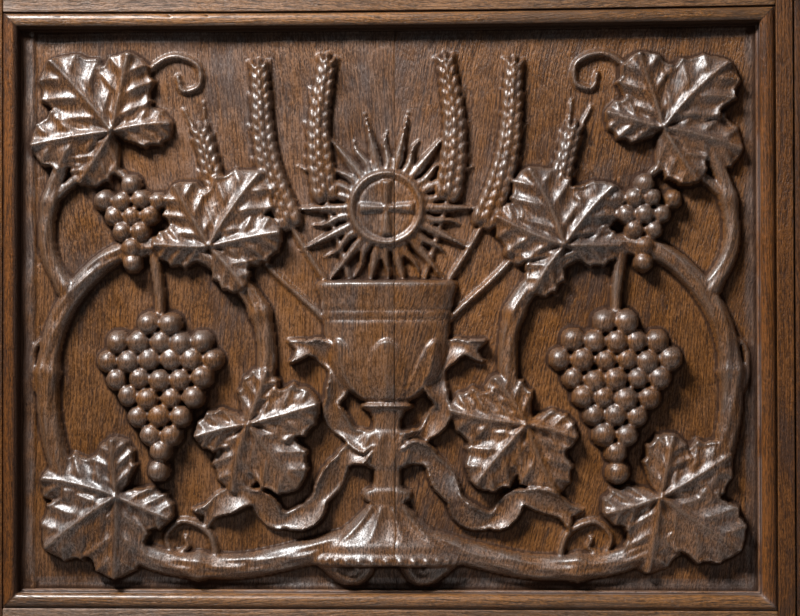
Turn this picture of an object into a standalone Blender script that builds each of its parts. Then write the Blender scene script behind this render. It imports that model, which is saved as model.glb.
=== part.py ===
"""One free-standing bay of an oak communion rail with a carved panel.

Metres, +Z up, the carved front faces -Y, the floor face lies on z = 0.
"""
import math

import bmesh
import bpy
import numpy as np

# Opening in the frame, and the frame around it
OPENING_WIDTH = 0.645
OPENING_HEIGHT = 0.500
OPENING_FLOOR_Z = 0.185
STILE_WIDTH = 0.014
FRAME_THICKNESS = 0.055
TOP_RAIL_HEIGHT = 0.080
BOTTOM_RAIL_HEIGHT = 0.100
POST_WIDTH = 0.090
POST_DEPTH = 0.075
POST_ARRIS = 0.0025
POST_GAP = 0.0012

# Joints of the frame
FIT = 0.0003
TENON_THICKNESS = 0.016
TENON_HEIGHT = 0.056
TENON_IN_POST = 0.042
TENON_ROOT = 0.010
PEG_RADIUS = 0.005
PEG_SPREAD = 0.030
PEG_FROM_SHOULDER = 0.020
POST_TENON_WIDTH = 0.050
POST_TENON_THICKNESS = 0.030
POST_TENON_IN_SOLE = 0.028
POST_TENON_IN_CAP = 0.022
DOWEL_RADIUS = 0.006
DOWEL_LENGTH = 0.044
DOWEL_SPACING = 0.320

# Carved panel of two boards
GROUND_RECESS = 0.013
BOARD_THICKNESS = 0.022
PANEL_PLAY = 0.001
BOARD_JOINT_X = 0.007
TONGUE_WIDTH = 0.020
TONGUE_THICKNESS = 0.006
TONGUE_FROM_GROUND = 0.009
GROOVE_RUNOUT = 0.010
BATTEN_HEIGHT = 0.042
BATTEN_THICKNESS = 0.016
BATTEN_SPACING = 0.290
DOVETAIL_DEPTH = 0.006
DOVETAIL_NECK = 0.020
DOVETAIL_ROOT = 0.027

# Mouldings and beads round the panel
MOULDING_WIDTH = 0.015
MOULDING_PROUD = 0.002
OUTER_FILLET_WIDTH = 0.0022
OUTER_FILLET_SINK = 0.0012
ROUND_RADIUS = 0.0050
INNER_FILLET_SINK = 0.0046
INNER_EDGE_SINK = 0.0060
BEAD_WIDTH = 0.012
BEAD_FILLET = 0.002

# Sole, skirting and base moulding
SOLE_THICKNESS = 0.040
SOLE_DEPTH = 0.180
SOLE_OVERHANG = 0.040
SOLE_EDGE = 0.010
SOLE_ARRIS = 0.0015
SKIRTING_THICKNESS = 0.018
SKIRTING_HEIGHT = 0.065
BASE_MOULDING_HEIGHT = 0.022
BASE_TORUS_RADIUS = 0.0048
BASE_FILLET = 0.0025
BLOCK_SIDE = 0.026
BLOCK_LENGTH = 0.070
BLOCK_SPACING = 0.360

# Cap and bed moulding
CAP_THICKNESS = 0.038
CAP_DEPTH = 0.200
CAP_OVERHANG = 0.042
CAP_EDGE = 0.012
CAP_UNDER_EDGE = 0.006
BED_MOULDING_HEIGHT = 0.032
BED_MOULDING_REACH = 0.028
BED_FOOT_REACH = 0.004
BED_FOOT_HEIGHT = 0.003
BED_LIP_HEIGHT = 0.005

# Carving
CARVING_GRID = 0.0026
CARVING_MARGIN = 0.0015
TRIANGLES_KEPT = 0.125
VINE_RADIUS = 0.0110
BRANCH_RADIUS = 0.0075
VINE_LIFT = 0.003
STALK_RADIUS = 0.0032
STALK_LIFT = 0.001
EAR_RADIUS = 0.0095
GRAPE_RADIUS = 0.0100
SMALL_GRAPE_RADIUS = 0.0084
BUNCH_WIDTH = 0.106
BUNCH_HEIGHT = 0.128
SMALL_BUNCH_WIDTH = 0.054
SMALL_BUNCH_HEIGHT = 0.070
BUNCH_LIFT = 0.0035
BUNCH_SWELL = 0.007
LARGE_LEAF = 0.076
SMALL_LEAF = 0.062
LEAF_LIFT = 0.009
LEAF_DOME = 0.006
CHALICE_HEIGHT = 0.237
CHALICE_FOOT_WIDTH = 0.132
CHALICE_LIFT = 0.003
CHALICE_ROUND = 0.30
CHALICE_STEM_RADIUS = 0.012
CHALICE_STEM_LIFT = 0.003
HOST_RADIUS = 0.033
HOST_RISE = 0.009
HOST_RIM_WIDTH = 0.006
HOST_RIM_RISE = 0.0025
RAY_COUNT = 14
RAY_REACH = 0.084
RAY_WIDTH = 0.014
RAY_TIP_RISE = 0.002
RAY_ROOT_RISE = 0.007

# Places that follow from the sizes above
FACE_Y = -POST_DEPTH / 2
FRAME_BACK_Y = FACE_Y + FRAME_THICKNESS
FRAME_MID_Y = FACE_Y + FRAME_THICKNESS / 2
GROUND_Y = FACE_Y + GROUND_RECESS
BOARD_BACK_Y = GROUND_Y + BOARD_THICKNESS
HALF_OPENING = OPENING_WIDTH / 2
OPENING_TOP_Z = OPENING_FLOOR_Z + OPENING_HEIGHT
OPENING_MID_Z = OPENING_FLOOR_Z + OPENING_HEIGHT / 2
FRAME_FLOOR_Z = OPENING_FLOOR_Z - BOTTOM_RAIL_HEIGHT
FRAME_TOP_Z = OPENING_TOP_Z + TOP_RAIL_HEIGHT
TOP_RAIL_MID_Z = OPENING_TOP_Z + TOP_RAIL_HEIGHT / 2
BOTTOM_RAIL_MID_Z = OPENING_FLOOR_Z - BOTTOM_RAIL_HEIGHT / 2
POST_INNER_X = HALF_OPENING + STILE_WIDTH + POST_GAP
POST_MID_X = POST_INNER_X + POST_WIDTH / 2
POST_OUTER_X = POST_INNER_X + POST_WIDTH
CAP_FLOOR_Z = FRAME_TOP_Z + FIT
CAP_TOP_Z = CAP_FLOOR_Z + CAP_THICKNESS
POST_FLOOR_Z = SOLE_THICKNESS + FIT
SKIRTING_TOP_Z = POST_FLOOR_Z + SKIRTING_HEIGHT
BASE_FLOOR_Z = SKIRTING_TOP_Z + FIT
HALF_PANEL_WIDTH = HALF_OPENING - PANEL_PLAY
HALF_PANEL_HEIGHT = OPENING_HEIGHT / 2 - PANEL_PLAY
HALF_FIELD_WIDTH = HALF_OPENING - MOULDING_WIDTH - CARVING_MARGIN
HALF_FIELD_HEIGHT = OPENING_HEIGHT / 2 - MOULDING_WIDTH - CARVING_MARGIN

SLOT_COLORS = {
    "carved_oak": (0.105, 0.050, 0.020),
    "frame_oak": (0.095, 0.046, 0.020),
    "moulding_oak": (0.085, 0.040, 0.017),
    "joinery_oak": (0.230, 0.135, 0.065),
}


def clear_scene():
    for item in list(bpy.data.objects):
        bpy.data.objects.remove(item, do_unlink=True)


def oak(slot):
    material = bpy.data.materials.get(slot)
    if material is None:
        material = bpy.data.materials.new(slot)
        material.use_nodes = True
        shader = material.node_tree.nodes["Principled BSDF"]
        shader.inputs["Base Color"].default_value = (*SLOT_COLORS[slot], 1.0)
        shader.inputs["Roughness"].default_value = 0.45
    return material


def piece(name, bm, slot):
    """Close a bmesh into a named object of the rail."""
    bmesh.ops.recalc_face_normals(bm, faces=bm.faces[:])
    mesh = bpy.data.meshes.new(name)
    bm.to_mesh(mesh)
    bm.free()
    made = bpy.data.objects.new(name, mesh)
    bpy.context.scene.collection.objects.link(made)
    mesh.materials.append(oak(slot))
    return made


def cutter(name, bm):
    """A shape that is only cut away from, or added to, another piece."""
    made = piece(name, bm, "joinery_oak")
    made.hide_render = True
    made.display_type = "WIRE"
    return made


def boolean(target, other, operation):
    step = target.modifiers.new(operation.lower() + "_" + other.name, "BOOLEAN")
    step.operation = operation
    step.solver = "EXACT"
    step.object = other


def block_mesh(low, high):
    bm = bmesh.new()
    bmesh.ops.create_cube(bm, size=1.0)
    for vert in bm.verts:
        for axis in range(3):
            middle = (low[axis] + high[axis]) / 2
            vert.co[axis] = middle + vert.co[axis] * (high[axis] - low[axis])
    return bm


def ease_upright_edges(bm, width):
    upright = [e for e in bm.edges if abs(e.verts[0].co.z - e.verts[1].co.z) > width]
    bmesh.ops.bevel(bm, geom=upright, offset=width, segments=2, profile=0.5, affect="EDGES")


def rod_mesh(radius, sides, start, end, turn=0.0):
    """A many-sided rod between two points on one axis line."""
    axis = [abs(end[i] - start[i]) for i in range(3)].index(max(abs(end[i] - start[i]) for i in range(3)))
    others = [i for i in range(3) if i != axis]
    bm = bmesh.new()
    rings = []
    for at in (start, end):
        ring = []
        for k in range(sides):
            angle = turn + 2 * math.pi * k / sides
            co = list(at)
            co[others[0]] += radius * math.cos(angle)
            co[others[1]] += radius * math.sin(angle)
            ring.append(bm.verts.new(co))
        rings.append(ring)
    for k in range(sides):
        after = (k + 1) % sides
        bm.faces.new((rings[0][k], rings[0][after], rings[1][after], rings[1][k]))
    bm.faces.new(rings[0])
    bm.faces.new(rings[1])
    return bm


def outline_mesh(outline, start, end, place):
    """A closed outline of (p, q) points drawn out straight from start to end."""
    bm = bmesh.new()
    first = [bm.verts.new(place(start, p, q)) for p, q in outline]
    last = [bm.verts.new(place(end, p, q)) for p, q in outline]
    count = len(outline)
    for k in range(count):
        after = (k + 1) % count
        bm.faces.new((first[k], first[after], last[after], last[k]))
    bm.faces.new(first)
    bm.faces.new(last)
    return bm


def mitred_set(names, half_a, half_b, outline, place, slot):
    """Four mitred lengths round a rectangle.

    The outline holds (p, q) points, p measured outward from the rectangle's
    sides and q square to its plane.  Place turns (a, b, q) into a position.
    """
    sides = ((0, 1), (0, -1), (1, 1), (1, -1))
    for name, (along, sign) in zip(names, sides):
        half_run = half_a if along == 0 else half_b
        half_off = half_b if along == 0 else half_a
        bm = bmesh.new()
        rings = []
        for end in (-1, 1):
            ring = []
            for p, q in outline:
                run = end * (half_run + p - FIT / 2)
                off = sign * (half_off + p)
                a, b = (run, off) if along == 0 else (off, run)
                ring.append(bm.verts.new(place(a, b, q)))
            rings.append(ring)
        count = len(outline)
        for k in range(count):
            after = (k + 1) % count
            bm.faces.new((rings[0][k], rings[0][after], rings[1][after], rings[1][k]))
        bm.faces.new(rings[0])
        bm.faces.new(rings[1])
        piece(name, bm, slot)


def slab_mesh(half_a, half_b, rings):
    """A level slab with a worked edge: rings are (inset, z) pairs, bottom to top."""
    bm = bmesh.new()
    loops = []
    for inset, z in rings:
        a, b = half_a - inset, half_b - inset
        corners = ((-a, -b), (a, -b), (a, b), (-a, b))
        loops.append([bm.verts.new((x, y, z)) for x, y in corners])
    for low, high in zip(loops, loops[1:]):
        for k in range(4):
            after = (k + 1) % 4
            bm.faces.new((low[k], low[after], high[after], high[k]))
    bm.faces.new(loops[0])
    bm.faces.new(loops[-1])
    return bm


def arc(mid, radius, start, end, steps):
    """Points of an arc, angles in degrees."""
    points = []
    for k in range(steps + 1):
        angle = math.radians(start + (end - start) * k / steps)
        points.append((mid[0] + radius * math.cos(angle), mid[1] + radius * math.sin(angle)))
    return points


# Frame: posts, stiles and rails
def tenon_box(rail_mid_z, side, play):
    """Box of a rail tenon from inside the rail to its end in the post."""
    root = side * (HALF_OPENING - TENON_ROOT)
    tip = side * (POST_INNER_X + TENON_IN_POST + play)
    half_y = TENON_THICKNESS / 2 + play
    half_z = TENON_HEIGHT / 2 + play
    low = (min(root, tip), FRAME_MID_Y - half_y, rail_mid_z - half_z)
    high = (max(root, tip), FRAME_MID_Y + half_y, rail_mid_z + half_z)
    return low, high


def peg_places(side):
    x = side * (POST_INNER_X + PEG_FROM_SHOULDER)
    for rail, mid_z in (("top", TOP_RAIL_MID_Z), ("bottom", BOTTOM_RAIL_MID_Z)):
        for level, sign in (("upper", 1), ("lower", -1)):
            yield rail, level, x, mid_z + sign * PEG_SPREAD / 2


def peg_hole(name, x, z):
    reach = POST_DEPTH
    hole = (PEG_RADIUS + FIT) / math.cos(math.pi / 12)
    return cutter(name, rod_mesh(hole, 12, (x, -reach, z), (x, reach, z)))


def build_posts(holes):
    for label, side in (("left", -1), ("right", 1)):
        xs = sorted((side * POST_INNER_X, side * POST_OUTER_X))
        body = block_mesh((xs[0], FACE_Y, POST_FLOOR_Z), (xs[1], -FACE_Y, FRAME_TOP_Z))
        ease_upright_edges(body, POST_ARRIS)
        post = piece(label + "_post", body, "frame_oak")
        low, high = post_tenon_box(side, 0.0)
        boolean(post, cutter(label + "_post_tenon", block_mesh(low, high)), "UNION")
        for rail, mid_z in (("top", TOP_RAIL_MID_Z), ("bottom", BOTTOM_RAIL_MID_Z)):
            low, high = tenon_box(mid_z, side, FIT)
            boolean(post, cutter(label + "_post_" + rail + "_mortise", block_mesh(low, high)), "DIFFERENCE")
        for hole in holes[side]:
            boolean(post, hole, "DIFFERENCE")


def post_tenon_box(side, play):
    """Box of the tenon that runs through a post into the sole and the cap."""
    half_x = POST_TENON_WIDTH / 2 + play
    half_y = POST_TENON_THICKNESS / 2 + play
    floor = SOLE_THICKNESS - POST_TENON_IN_SOLE - play
    top = CAP_FLOOR_Z + POST_TENON_IN_CAP + play
    low = (side * POST_MID_X - half_x, -half_y, floor)
    high = (side * POST_MID_X + half_x, half_y, top)
    return low, high


def build_stiles():
    for label, side in (("left", -1), ("right", 1)):
        xs = sorted((side * HALF_OPENING, side * (HALF_OPENING + STILE_WIDTH)))
        body = block_mesh((xs[0], FACE_Y, FRAME_FLOOR_Z), (xs[1], FRAME_BACK_Y, FRAME_TOP_Z))
        stile = piece(label + "_stile", body, "frame_oak")
        for rail, mid_z in (("top", TOP_RAIL_MID_Z), ("bottom", BOTTOM_RAIL_MID_Z)):
            low, high = tenon_box(mid_z, side, FIT)
            boolean(stile, cutter(label + "_stile_" + rail + "_mortise", block_mesh(low, high)), "DIFFERENCE")


def build_rails(holes):
    levels = {
        "top": (TOP_RAIL_MID_Z, OPENING_TOP_Z, FRAME_TOP_Z),
        "bottom": (BOTTOM_RAIL_MID_Z, FRAME_FLOOR_Z, OPENING_FLOOR_Z),
    }
    half = HALF_OPENING - FIT
    for label, (mid_z, floor, top) in levels.items():
        rail = piece(label + "_rail", block_mesh((-half, FACE_Y, floor), (half, FRAME_BACK_Y, top)), "frame_oak")
        for end, side in (("left", -1), ("right", 1)):
            low, high = tenon_box(mid_z, side, 0.0)
            boolean(rail, cutter(label + "_rail_" + end + "_tenon", block_mesh(low, high)), "UNION")
            for hole in holes[side]:
                if label in hole.name:
                    boolean(rail, hole, "DIFFERENCE")
        if label == "top":
            for hole in holes["dowels"]:
                boolean(rail, hole, "DIFFERENCE")


def build_pegs():
    for label, side in (("left", -1), ("right", 1)):
        for rail, level, x, z in peg_places(side):
            ends = (FACE_Y + FIT, -FACE_Y - FIT)
            body = rod_mesh(PEG_RADIUS, 8, (x, ends[0], z), (x, ends[1], z), math.pi / 8)
            piece(label + "_" + rail + "_" + level + "_peg", body, "joinery_oak")


def dowel_span(play):
    return CAP_FLOOR_Z - DOWEL_LENGTH / 2 - play, CAP_FLOOR_Z + DOWEL_LENGTH / 2 + play


def build_dowels():
    for label, sign in (("left", -1), ("right", 1)):
        x = sign * DOWEL_SPACING / 2
        floor, top = dowel_span(0.0)
        piece(label + "_cap_dowel", rod_mesh(DOWEL_RADIUS, 8, (x, 0, floor), (x, 0, top), math.pi / 8), "joinery_oak")


def shared_holes():
    holes = {-1: [], 1: [], "dowels": []}
    for side in (-1, 1):
        for rail, level, x, z in peg_places(side):
            name = ("left_" if side < 0 else "right_") + rail + "_" + level + "_hole"
            holes[side].append(peg_hole(name, x, z))
    radius = (DOWEL_RADIUS + FIT) / math.cos(math.pi / 12)
    floor, top = dowel_span(2 * FIT)
    for label, sign in (("left", -1), ("right", 1)):
        x = sign * DOWEL_SPACING / 2
        holes["dowels"].append(cutter(label + "_dowel_hole", rod_mesh(radius, 12, (x, 0, floor), (x, 0, top))))
    return holes


# Carving on the panel: heights over the ground, before the boards are parted
def curve_through(points, steps=8):
    """Smooth line through points given as shares of the carved field."""
    line = np.array(points) * (HALF_FIELD_WIDTH, HALF_FIELD_HEIGHT)
    line = np.vstack((2 * line[0] - line[1], line, 2 * line[-1] - line[-2]))
    spans = []
    for a, b, c, d in zip(line, line[1:], line[2:], line[3:]):
        t = np.linspace(0, 1, steps, endpoint=False)[:, None]
        spans.append(0.5 * (2 * b + (c - a) * t + (2 * a - 5 * b + 4 * c - d) * t**2 + (3 * b - a - 3 * c + d) * t**3))
    return np.vstack(spans + [line[-2:-1]])


def ridge(x, z, line, radius_start, radius_end, lift):
    """Rounded ridge that tapers along a line."""
    height = np.zeros_like(x)
    for k in range(len(line) - 1):
        run = line[k + 1] - line[k]
        t = np.clip(((x - line[k][0]) * run[0] + (z - line[k][1]) * run[1]) / (run @ run), 0, 1)
        gap = np.hypot(x - line[k][0] - t * run[0], z - line[k][1] - t * run[1])
        radius = radius_start + (radius_end - radius_start) * (k + t) / (len(line) - 1)
        round_top = lift + np.sqrt(np.clip(radius**2 - gap**2, 0, None))
        height = np.maximum(height, np.where(gap < radius, round_top, 0))
    return height


def leaf(x, z, at, length, turn):
    """Five-lobed vine leaf, domed, with a hollow along each lobe."""
    dx = x - at[0] * HALF_FIELD_WIDTH
    dz = z - at[1] * HALF_FIELD_HEIGHT
    reach = np.hypot(dx, dz)
    angle = np.arctan2(dz, dx) - math.radians(turn)
    edge = np.full_like(x, 0.30 * length)
    for lobe, share in ((0, 1.0), (53, 0.86), (-53, 0.86), (112, 0.62), (-112, 0.62)):
        off = np.abs(np.angle(np.exp(1j * (angle - math.radians(lobe)))))
        edge = np.maximum(edge, share * length * (0.36 + 0.64 * np.clip(1 - off / 0.6, 0, 1) ** 0.72) * (off < 0.6))
    near = np.clip(reach / edge, 0, 1)
    return np.where(near < 1, LEAF_LIFT + LEAF_DOME * (1 - near**2), 0)


def bunch(x, z, top, width, height, radius):
    """Hanging bunch of grapes in rows, broad above and pointed below."""
    risen = np.zeros_like(x)
    rows = int(height / (1.55 * radius))
    for row in range(rows + 1):
        down = row / rows
        spread = width * np.interp(down, (0, 0.18, 0.4, 0.7, 1), (0.55, 0.95, 1.0, 0.62, 0.12))
        count = max(1, round(spread / (1.72 * radius)))
        for k in range(count):
            off = (k - (count - 1) / 2) * 1.78 * radius
            swell = BUNCH_SWELL * math.sqrt(max(0, 1 - (2 * off / width) ** 2)) * (1 - 0.35 * down)
            gap = np.hypot(x - top[0] * HALF_FIELD_WIDTH - off, z - top[1] * HALF_FIELD_HEIGHT + 1.55 * radius * row)
            grape = BUNCH_LIFT + swell + np.sqrt(np.clip(radius**2 - gap**2, 0, None))
            risen = np.maximum(risen, np.where(gap < radius, grape, 0))
    return risen


def chalice(x, z, foot):
    """Turned cup on a stem with a knop, in half relief."""
    up = (z - foot * HALF_FIELD_HEIGHT) / CHALICE_HEIGHT
    levels = (0.0, 0.04, 0.06, 0.12, 0.20, 0.23, 0.26, 0.28, 0.34, 0.37, 0.42, 0.46, 0.48, 0.54, 0.58, 0.62, 0.68, 0.76, 0.98, 1.0)
    widths = (64, 66, 59, 40, 18, 20, 18, 12, 12, 24, 28, 23, 12, 13, 20, 38, 46, 51, 58, 56)
    half = np.interp(up, levels, widths) / max(widths) * CHALICE_FOOT_WIDTH / 2
    across = np.clip(np.abs(x) / half, 0, 1)
    slim = np.exp(-((half / CHALICE_STEM_RADIUS - 1) ** 2))
    height = CHALICE_LIFT + CHALICE_ROUND * half * np.sqrt(1 - across**2) + CHALICE_STEM_LIFT * slim
    return np.where((across < 1) & (up >= 0) & (up <= 1), height, 0)


def host(x, z, at):
    """Plain round host with a ring of rays."""
    dz = z - at * HALF_FIELD_HEIGHT
    reach = np.hypot(x, dz)
    step = 2 * math.pi / RAY_COUNT
    angle = np.arctan2(dz, x)
    off = np.abs(angle - np.round(angle / step) * step)
    out = np.clip((RAY_REACH - reach) / (RAY_REACH - HOST_RADIUS), 0, 1)
    ray = (reach * np.sin(off) < RAY_WIDTH / 2 * out) & (reach > HOST_RADIUS * 0.9)
    ray_height = RAY_TIP_RISE + (RAY_ROOT_RISE - RAY_TIP_RISE) * out
    disc_height = HOST_RISE + HOST_RIM_RISE * (reach > HOST_RADIUS - HOST_RIM_WIDTH)
    return np.where(reach < HOST_RADIUS, disc_height, np.where(ray, ray_height, 0))


VINE = ((0.17, -0.88), (0.10, -0.95), (0.065, -0.89), (0.11, -0.84), (0.23, -0.88), (0.425, -0.925), (0.655, -0.89), (0.845, -0.71),
        (0.93, -0.385), (0.905, -0.045), (0.745, 0.195), (0.525, 0.205), (0.36, 0.015), (0.335, -0.255), (0.405, -0.47))
BRANCH = ((0.87, 0.045), (0.935, 0.215), (0.92, 0.43), (0.855, 0.60), (0.77, 0.675))
BUNCH_STALKS = (
    ((0.64, 0.205), (0.63, 0.085), (0.62, -0.035)),
    ((0.925, 0.395), (0.845, 0.48), (0.76, 0.505), (0.70, 0.455)),
)
EARS = (
    ((0.025, -0.255), (0.10, 0.085), (0.165, 0.385), (0.185, 0.64), (0.165, 0.90)),
    ((0.03, -0.255), (0.145, 0.045), (0.26, 0.30), (0.33, 0.555), (0.35, 0.885)),
    ((0.04, -0.265), (0.17, -0.045), (0.325, 0.155), (0.445, 0.36), (0.51, 0.65)),
)
LEAVES = (
    ((0.75, -0.685), LARGE_LEAF, -36),
    ((0.77, 0.66), LARGE_LEAF, 49),
    ((0.485, 0.225), SMALL_LEAF, 112),
    ((0.375, -0.42), SMALL_LEAF, 229),
)


def carving(x, z):
    """Height over the ground at places measured from the panel's middle."""
    side = np.abs(x)
    height = np.maximum(host(x, z, 0.36), chalice(x, z, -0.913))
    for points in EARS:
        line = curve_through(points)
        start = int(len(line) * 0.62)
        height = np.maximum(height, ridge(side, z, line, STALK_RADIUS, STALK_RADIUS, STALK_LIFT))
        height = np.maximum(height, ridge(side, z, line[start:], EAR_RADIUS, EAR_RADIUS * 0.7, 0))
    height = np.maximum(height, ridge(side, z, curve_through(VINE), VINE_RADIUS, VINE_RADIUS * 0.66, VINE_LIFT))
    height = np.maximum(height, ridge(side, z, curve_through(BRANCH), BRANCH_RADIUS, BRANCH_RADIUS * 0.55, VINE_LIFT))
    for points in BUNCH_STALKS:
        height = np.maximum(height, ridge(side, z, curve_through(points), STALK_RADIUS * 1.5, STALK_RADIUS * 1.2, VINE_LIFT))
    height = np.maximum(height, bunch(side, z, (0.62, -0.05), BUNCH_WIDTH, BUNCH_HEIGHT, GRAPE_RADIUS))
    height = np.maximum(height, bunch(side, z, (0.70, 0.445), SMALL_BUNCH_WIDTH, SMALL_BUNCH_HEIGHT, SMALL_GRAPE_RADIUS))
    for at, length, turn in LEAVES:
        height = np.maximum(height, leaf(side, z, at, length, turn))
    inside = (side < HALF_FIELD_WIDTH) & (np.abs(z) < HALF_FIELD_HEIGHT)
    return np.where(inside, height, 0)


# Panel: two carved boards, their loose tongue and two dovetailed battens
def carved_board_mesh(side):
    columns = int(round((HALF_PANEL_WIDTH - side * BOARD_JOINT_X) / CARVING_GRID))
    rows = int(round(2 * HALF_PANEL_HEIGHT / CARVING_GRID))
    across = np.linspace(BOARD_JOINT_X + side * FIT / 2, side * HALF_PANEL_WIDTH, columns + 1)
    upward = np.linspace(-HALF_PANEL_HEIGHT, HALF_PANEL_HEIGHT, rows + 1)
    x, z = np.meshgrid(across, upward)
    depth = GROUND_Y - carving(x, z)
    bm = bmesh.new()
    grid = [[bm.verts.new((x[j, i], depth[j, i], OPENING_MID_Z + z[j, i])) for i in range(columns + 1)] for j in range(rows + 1)]
    for j in range(rows):
        for i in range(columns):
            bm.faces.new((grid[j][i], grid[j][i + 1], grid[j + 1][i + 1], grid[j + 1][i]))
    corners = [grid[0][0], grid[0][-1], grid[-1][-1], grid[-1][0]]
    back = [bm.verts.new((c.co.x, BOARD_BACK_Y, c.co.z)) for c in corners]
    edges = [
        grid[0],
        [row[-1] for row in grid],
        grid[-1][::-1],
        [row[0] for row in grid][::-1],
    ]
    for k, edge in enumerate(edges):
        bm.faces.new(edge + [back[(k + 1) % 4], back[k]])
    bm.faces.new(back)
    return bm


def tongue_box(play):
    mid_y = GROUND_Y + TONGUE_FROM_GROUND
    half_x = TONGUE_WIDTH / 2 + play
    half_y = TONGUE_THICKNESS / 2 + play
    half_z = HALF_PANEL_HEIGHT if play == 0 else HALF_PANEL_HEIGHT + GROOVE_RUNOUT
    low = (BOARD_JOINT_X - half_x, mid_y - half_y, OPENING_MID_Z - half_z)
    high = (BOARD_JOINT_X + half_x, mid_y + half_y, OPENING_MID_Z + half_z)
    return low, high


def dovetail(play):
    """Outline of a batten's dovetail, y forward into the board and z up."""
    root_y = BOARD_BACK_Y - DOVETAIL_DEPTH - play
    neck_y = BOARD_BACK_Y + FIT
    neck = DOVETAIL_NECK / 2 + play
    root = DOVETAIL_ROOT / 2 + play
    return [(neck_y, -neck), (root_y, -root), (root_y, root), (neck_y, neck)]


def build_panel():
    battens = (("upper", OPENING_MID_Z + BATTEN_SPACING / 2), ("lower", OPENING_MID_Z - BATTEN_SPACING / 2))
    groove = cutter("tongue_groove", block_mesh(*tongue_box(FIT)))
    tracks = []
    half_run = HALF_OPENING - BEAD_WIDTH - 2 * FIT
    back_y = BOARD_BACK_Y + BATTEN_THICKNESS
    for label, mid_z in battens:
        place = lambda run, y, z, mid_z=mid_z: (run, y, mid_z + z)
        reach = HALF_OPENING
        tracks.append(cutter(label + "_batten_track", outline_mesh(dovetail(FIT), -reach, reach, place)))
        half = BATTEN_HEIGHT / 2
        outline = [(back_y, -half), (BOARD_BACK_Y + FIT, -half)] + dovetail(0.0) + [(BOARD_BACK_Y + FIT, half), (back_y, half)]
        piece(label + "_batten", outline_mesh(outline, -half_run, half_run, place), "joinery_oak")
    for label, side in (("left", -1), ("right", 1)):
        board = piece(label + "_panel_board", carved_board_mesh(side), "carved_oak")
        boolean(board, groove, "DIFFERENCE")
        for track in tracks:
            boolean(board, track, "DIFFERENCE")
        thin = board.modifiers.new("fewer_facets", "DECIMATE")
        thin.ratio = TRIANGLES_KEPT
    piece("panel_tongue", block_mesh(*tongue_box(0.0)), "joinery_oak")


# Mouldings before the panel and beads behind it
def panel_moulding_outline():
    """Fillet, round and inner fillet; p runs inward from the opening, q is y."""
    back = GROUND_Y - FIT
    crown = FACE_Y - MOULDING_PROUD
    fillet = FACE_Y + OUTER_FILLET_SINK
    mid = (-(OUTER_FILLET_WIDTH + ROUND_RADIUS), crown + ROUND_RADIUS)
    points = [(-FIT, back), (-FIT, fillet), (-OUTER_FILLET_WIDTH, fillet)]
    points += arc(mid, ROUND_RADIUS, 0, -180, 8)
    inner = -(OUTER_FILLET_WIDTH + 2 * ROUND_RADIUS)
    points += [(inner, FACE_Y + INNER_FILLET_SINK), (-MOULDING_WIDTH, FACE_Y + INNER_EDGE_SINK), (-MOULDING_WIDTH, back)]
    return points


def bead_outline():
    front = BOARD_BACK_Y + FIT
    back = FRAME_BACK_Y
    radius = BEAD_WIDTH - BEAD_FILLET
    points = [(-BEAD_WIDTH, front), (-FIT, front), (-FIT, back), (-BEAD_FILLET, back)]
    return points + arc((-BEAD_FILLET, back - radius), radius, 90, 180, 5)


def build_mouldings():
    half_height = OPENING_HEIGHT / 2
    upright = lambda a, b, q: (a, q, OPENING_MID_Z + b)
    names = ["top_panel_moulding", "bottom_panel_moulding", "right_panel_moulding", "left_panel_moulding"]
    mitred_set(names, HALF_OPENING, half_height, panel_moulding_outline(), upright, "moulding_oak")
    names = ["top_back_bead", "bottom_back_bead", "right_back_bead", "left_back_bead"]
    mitred_set(names, HALF_OPENING, half_height, bead_outline(), upright, "joinery_oak")


# Base: sole, skirting, base moulding and glue blocks
def skirting_outline():
    return [(FIT, POST_FLOOR_Z), (SKIRTING_THICKNESS, POST_FLOOR_Z), (SKIRTING_THICKNESS, SKIRTING_TOP_Z), (FIT, SKIRTING_TOP_Z)]


def base_moulding_outline():
    """Torus below, cove above."""
    floor = BASE_FLOOR_Z
    top = floor + BASE_MOULDING_HEIGHT
    radius = BASE_TORUS_RADIUS
    step = SKIRTING_THICKNESS - radius
    cove = BASE_MOULDING_HEIGHT - 2 * radius - BASE_FILLET
    points = [(FIT, floor), (step, floor)]
    points += arc((step, floor + radius), radius, -80, 90, 5)
    points += arc((step, floor + 2 * radius + cove), cove, 265, 185, 5)
    return points + [(step - cove, top), (FIT, top)]


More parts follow.
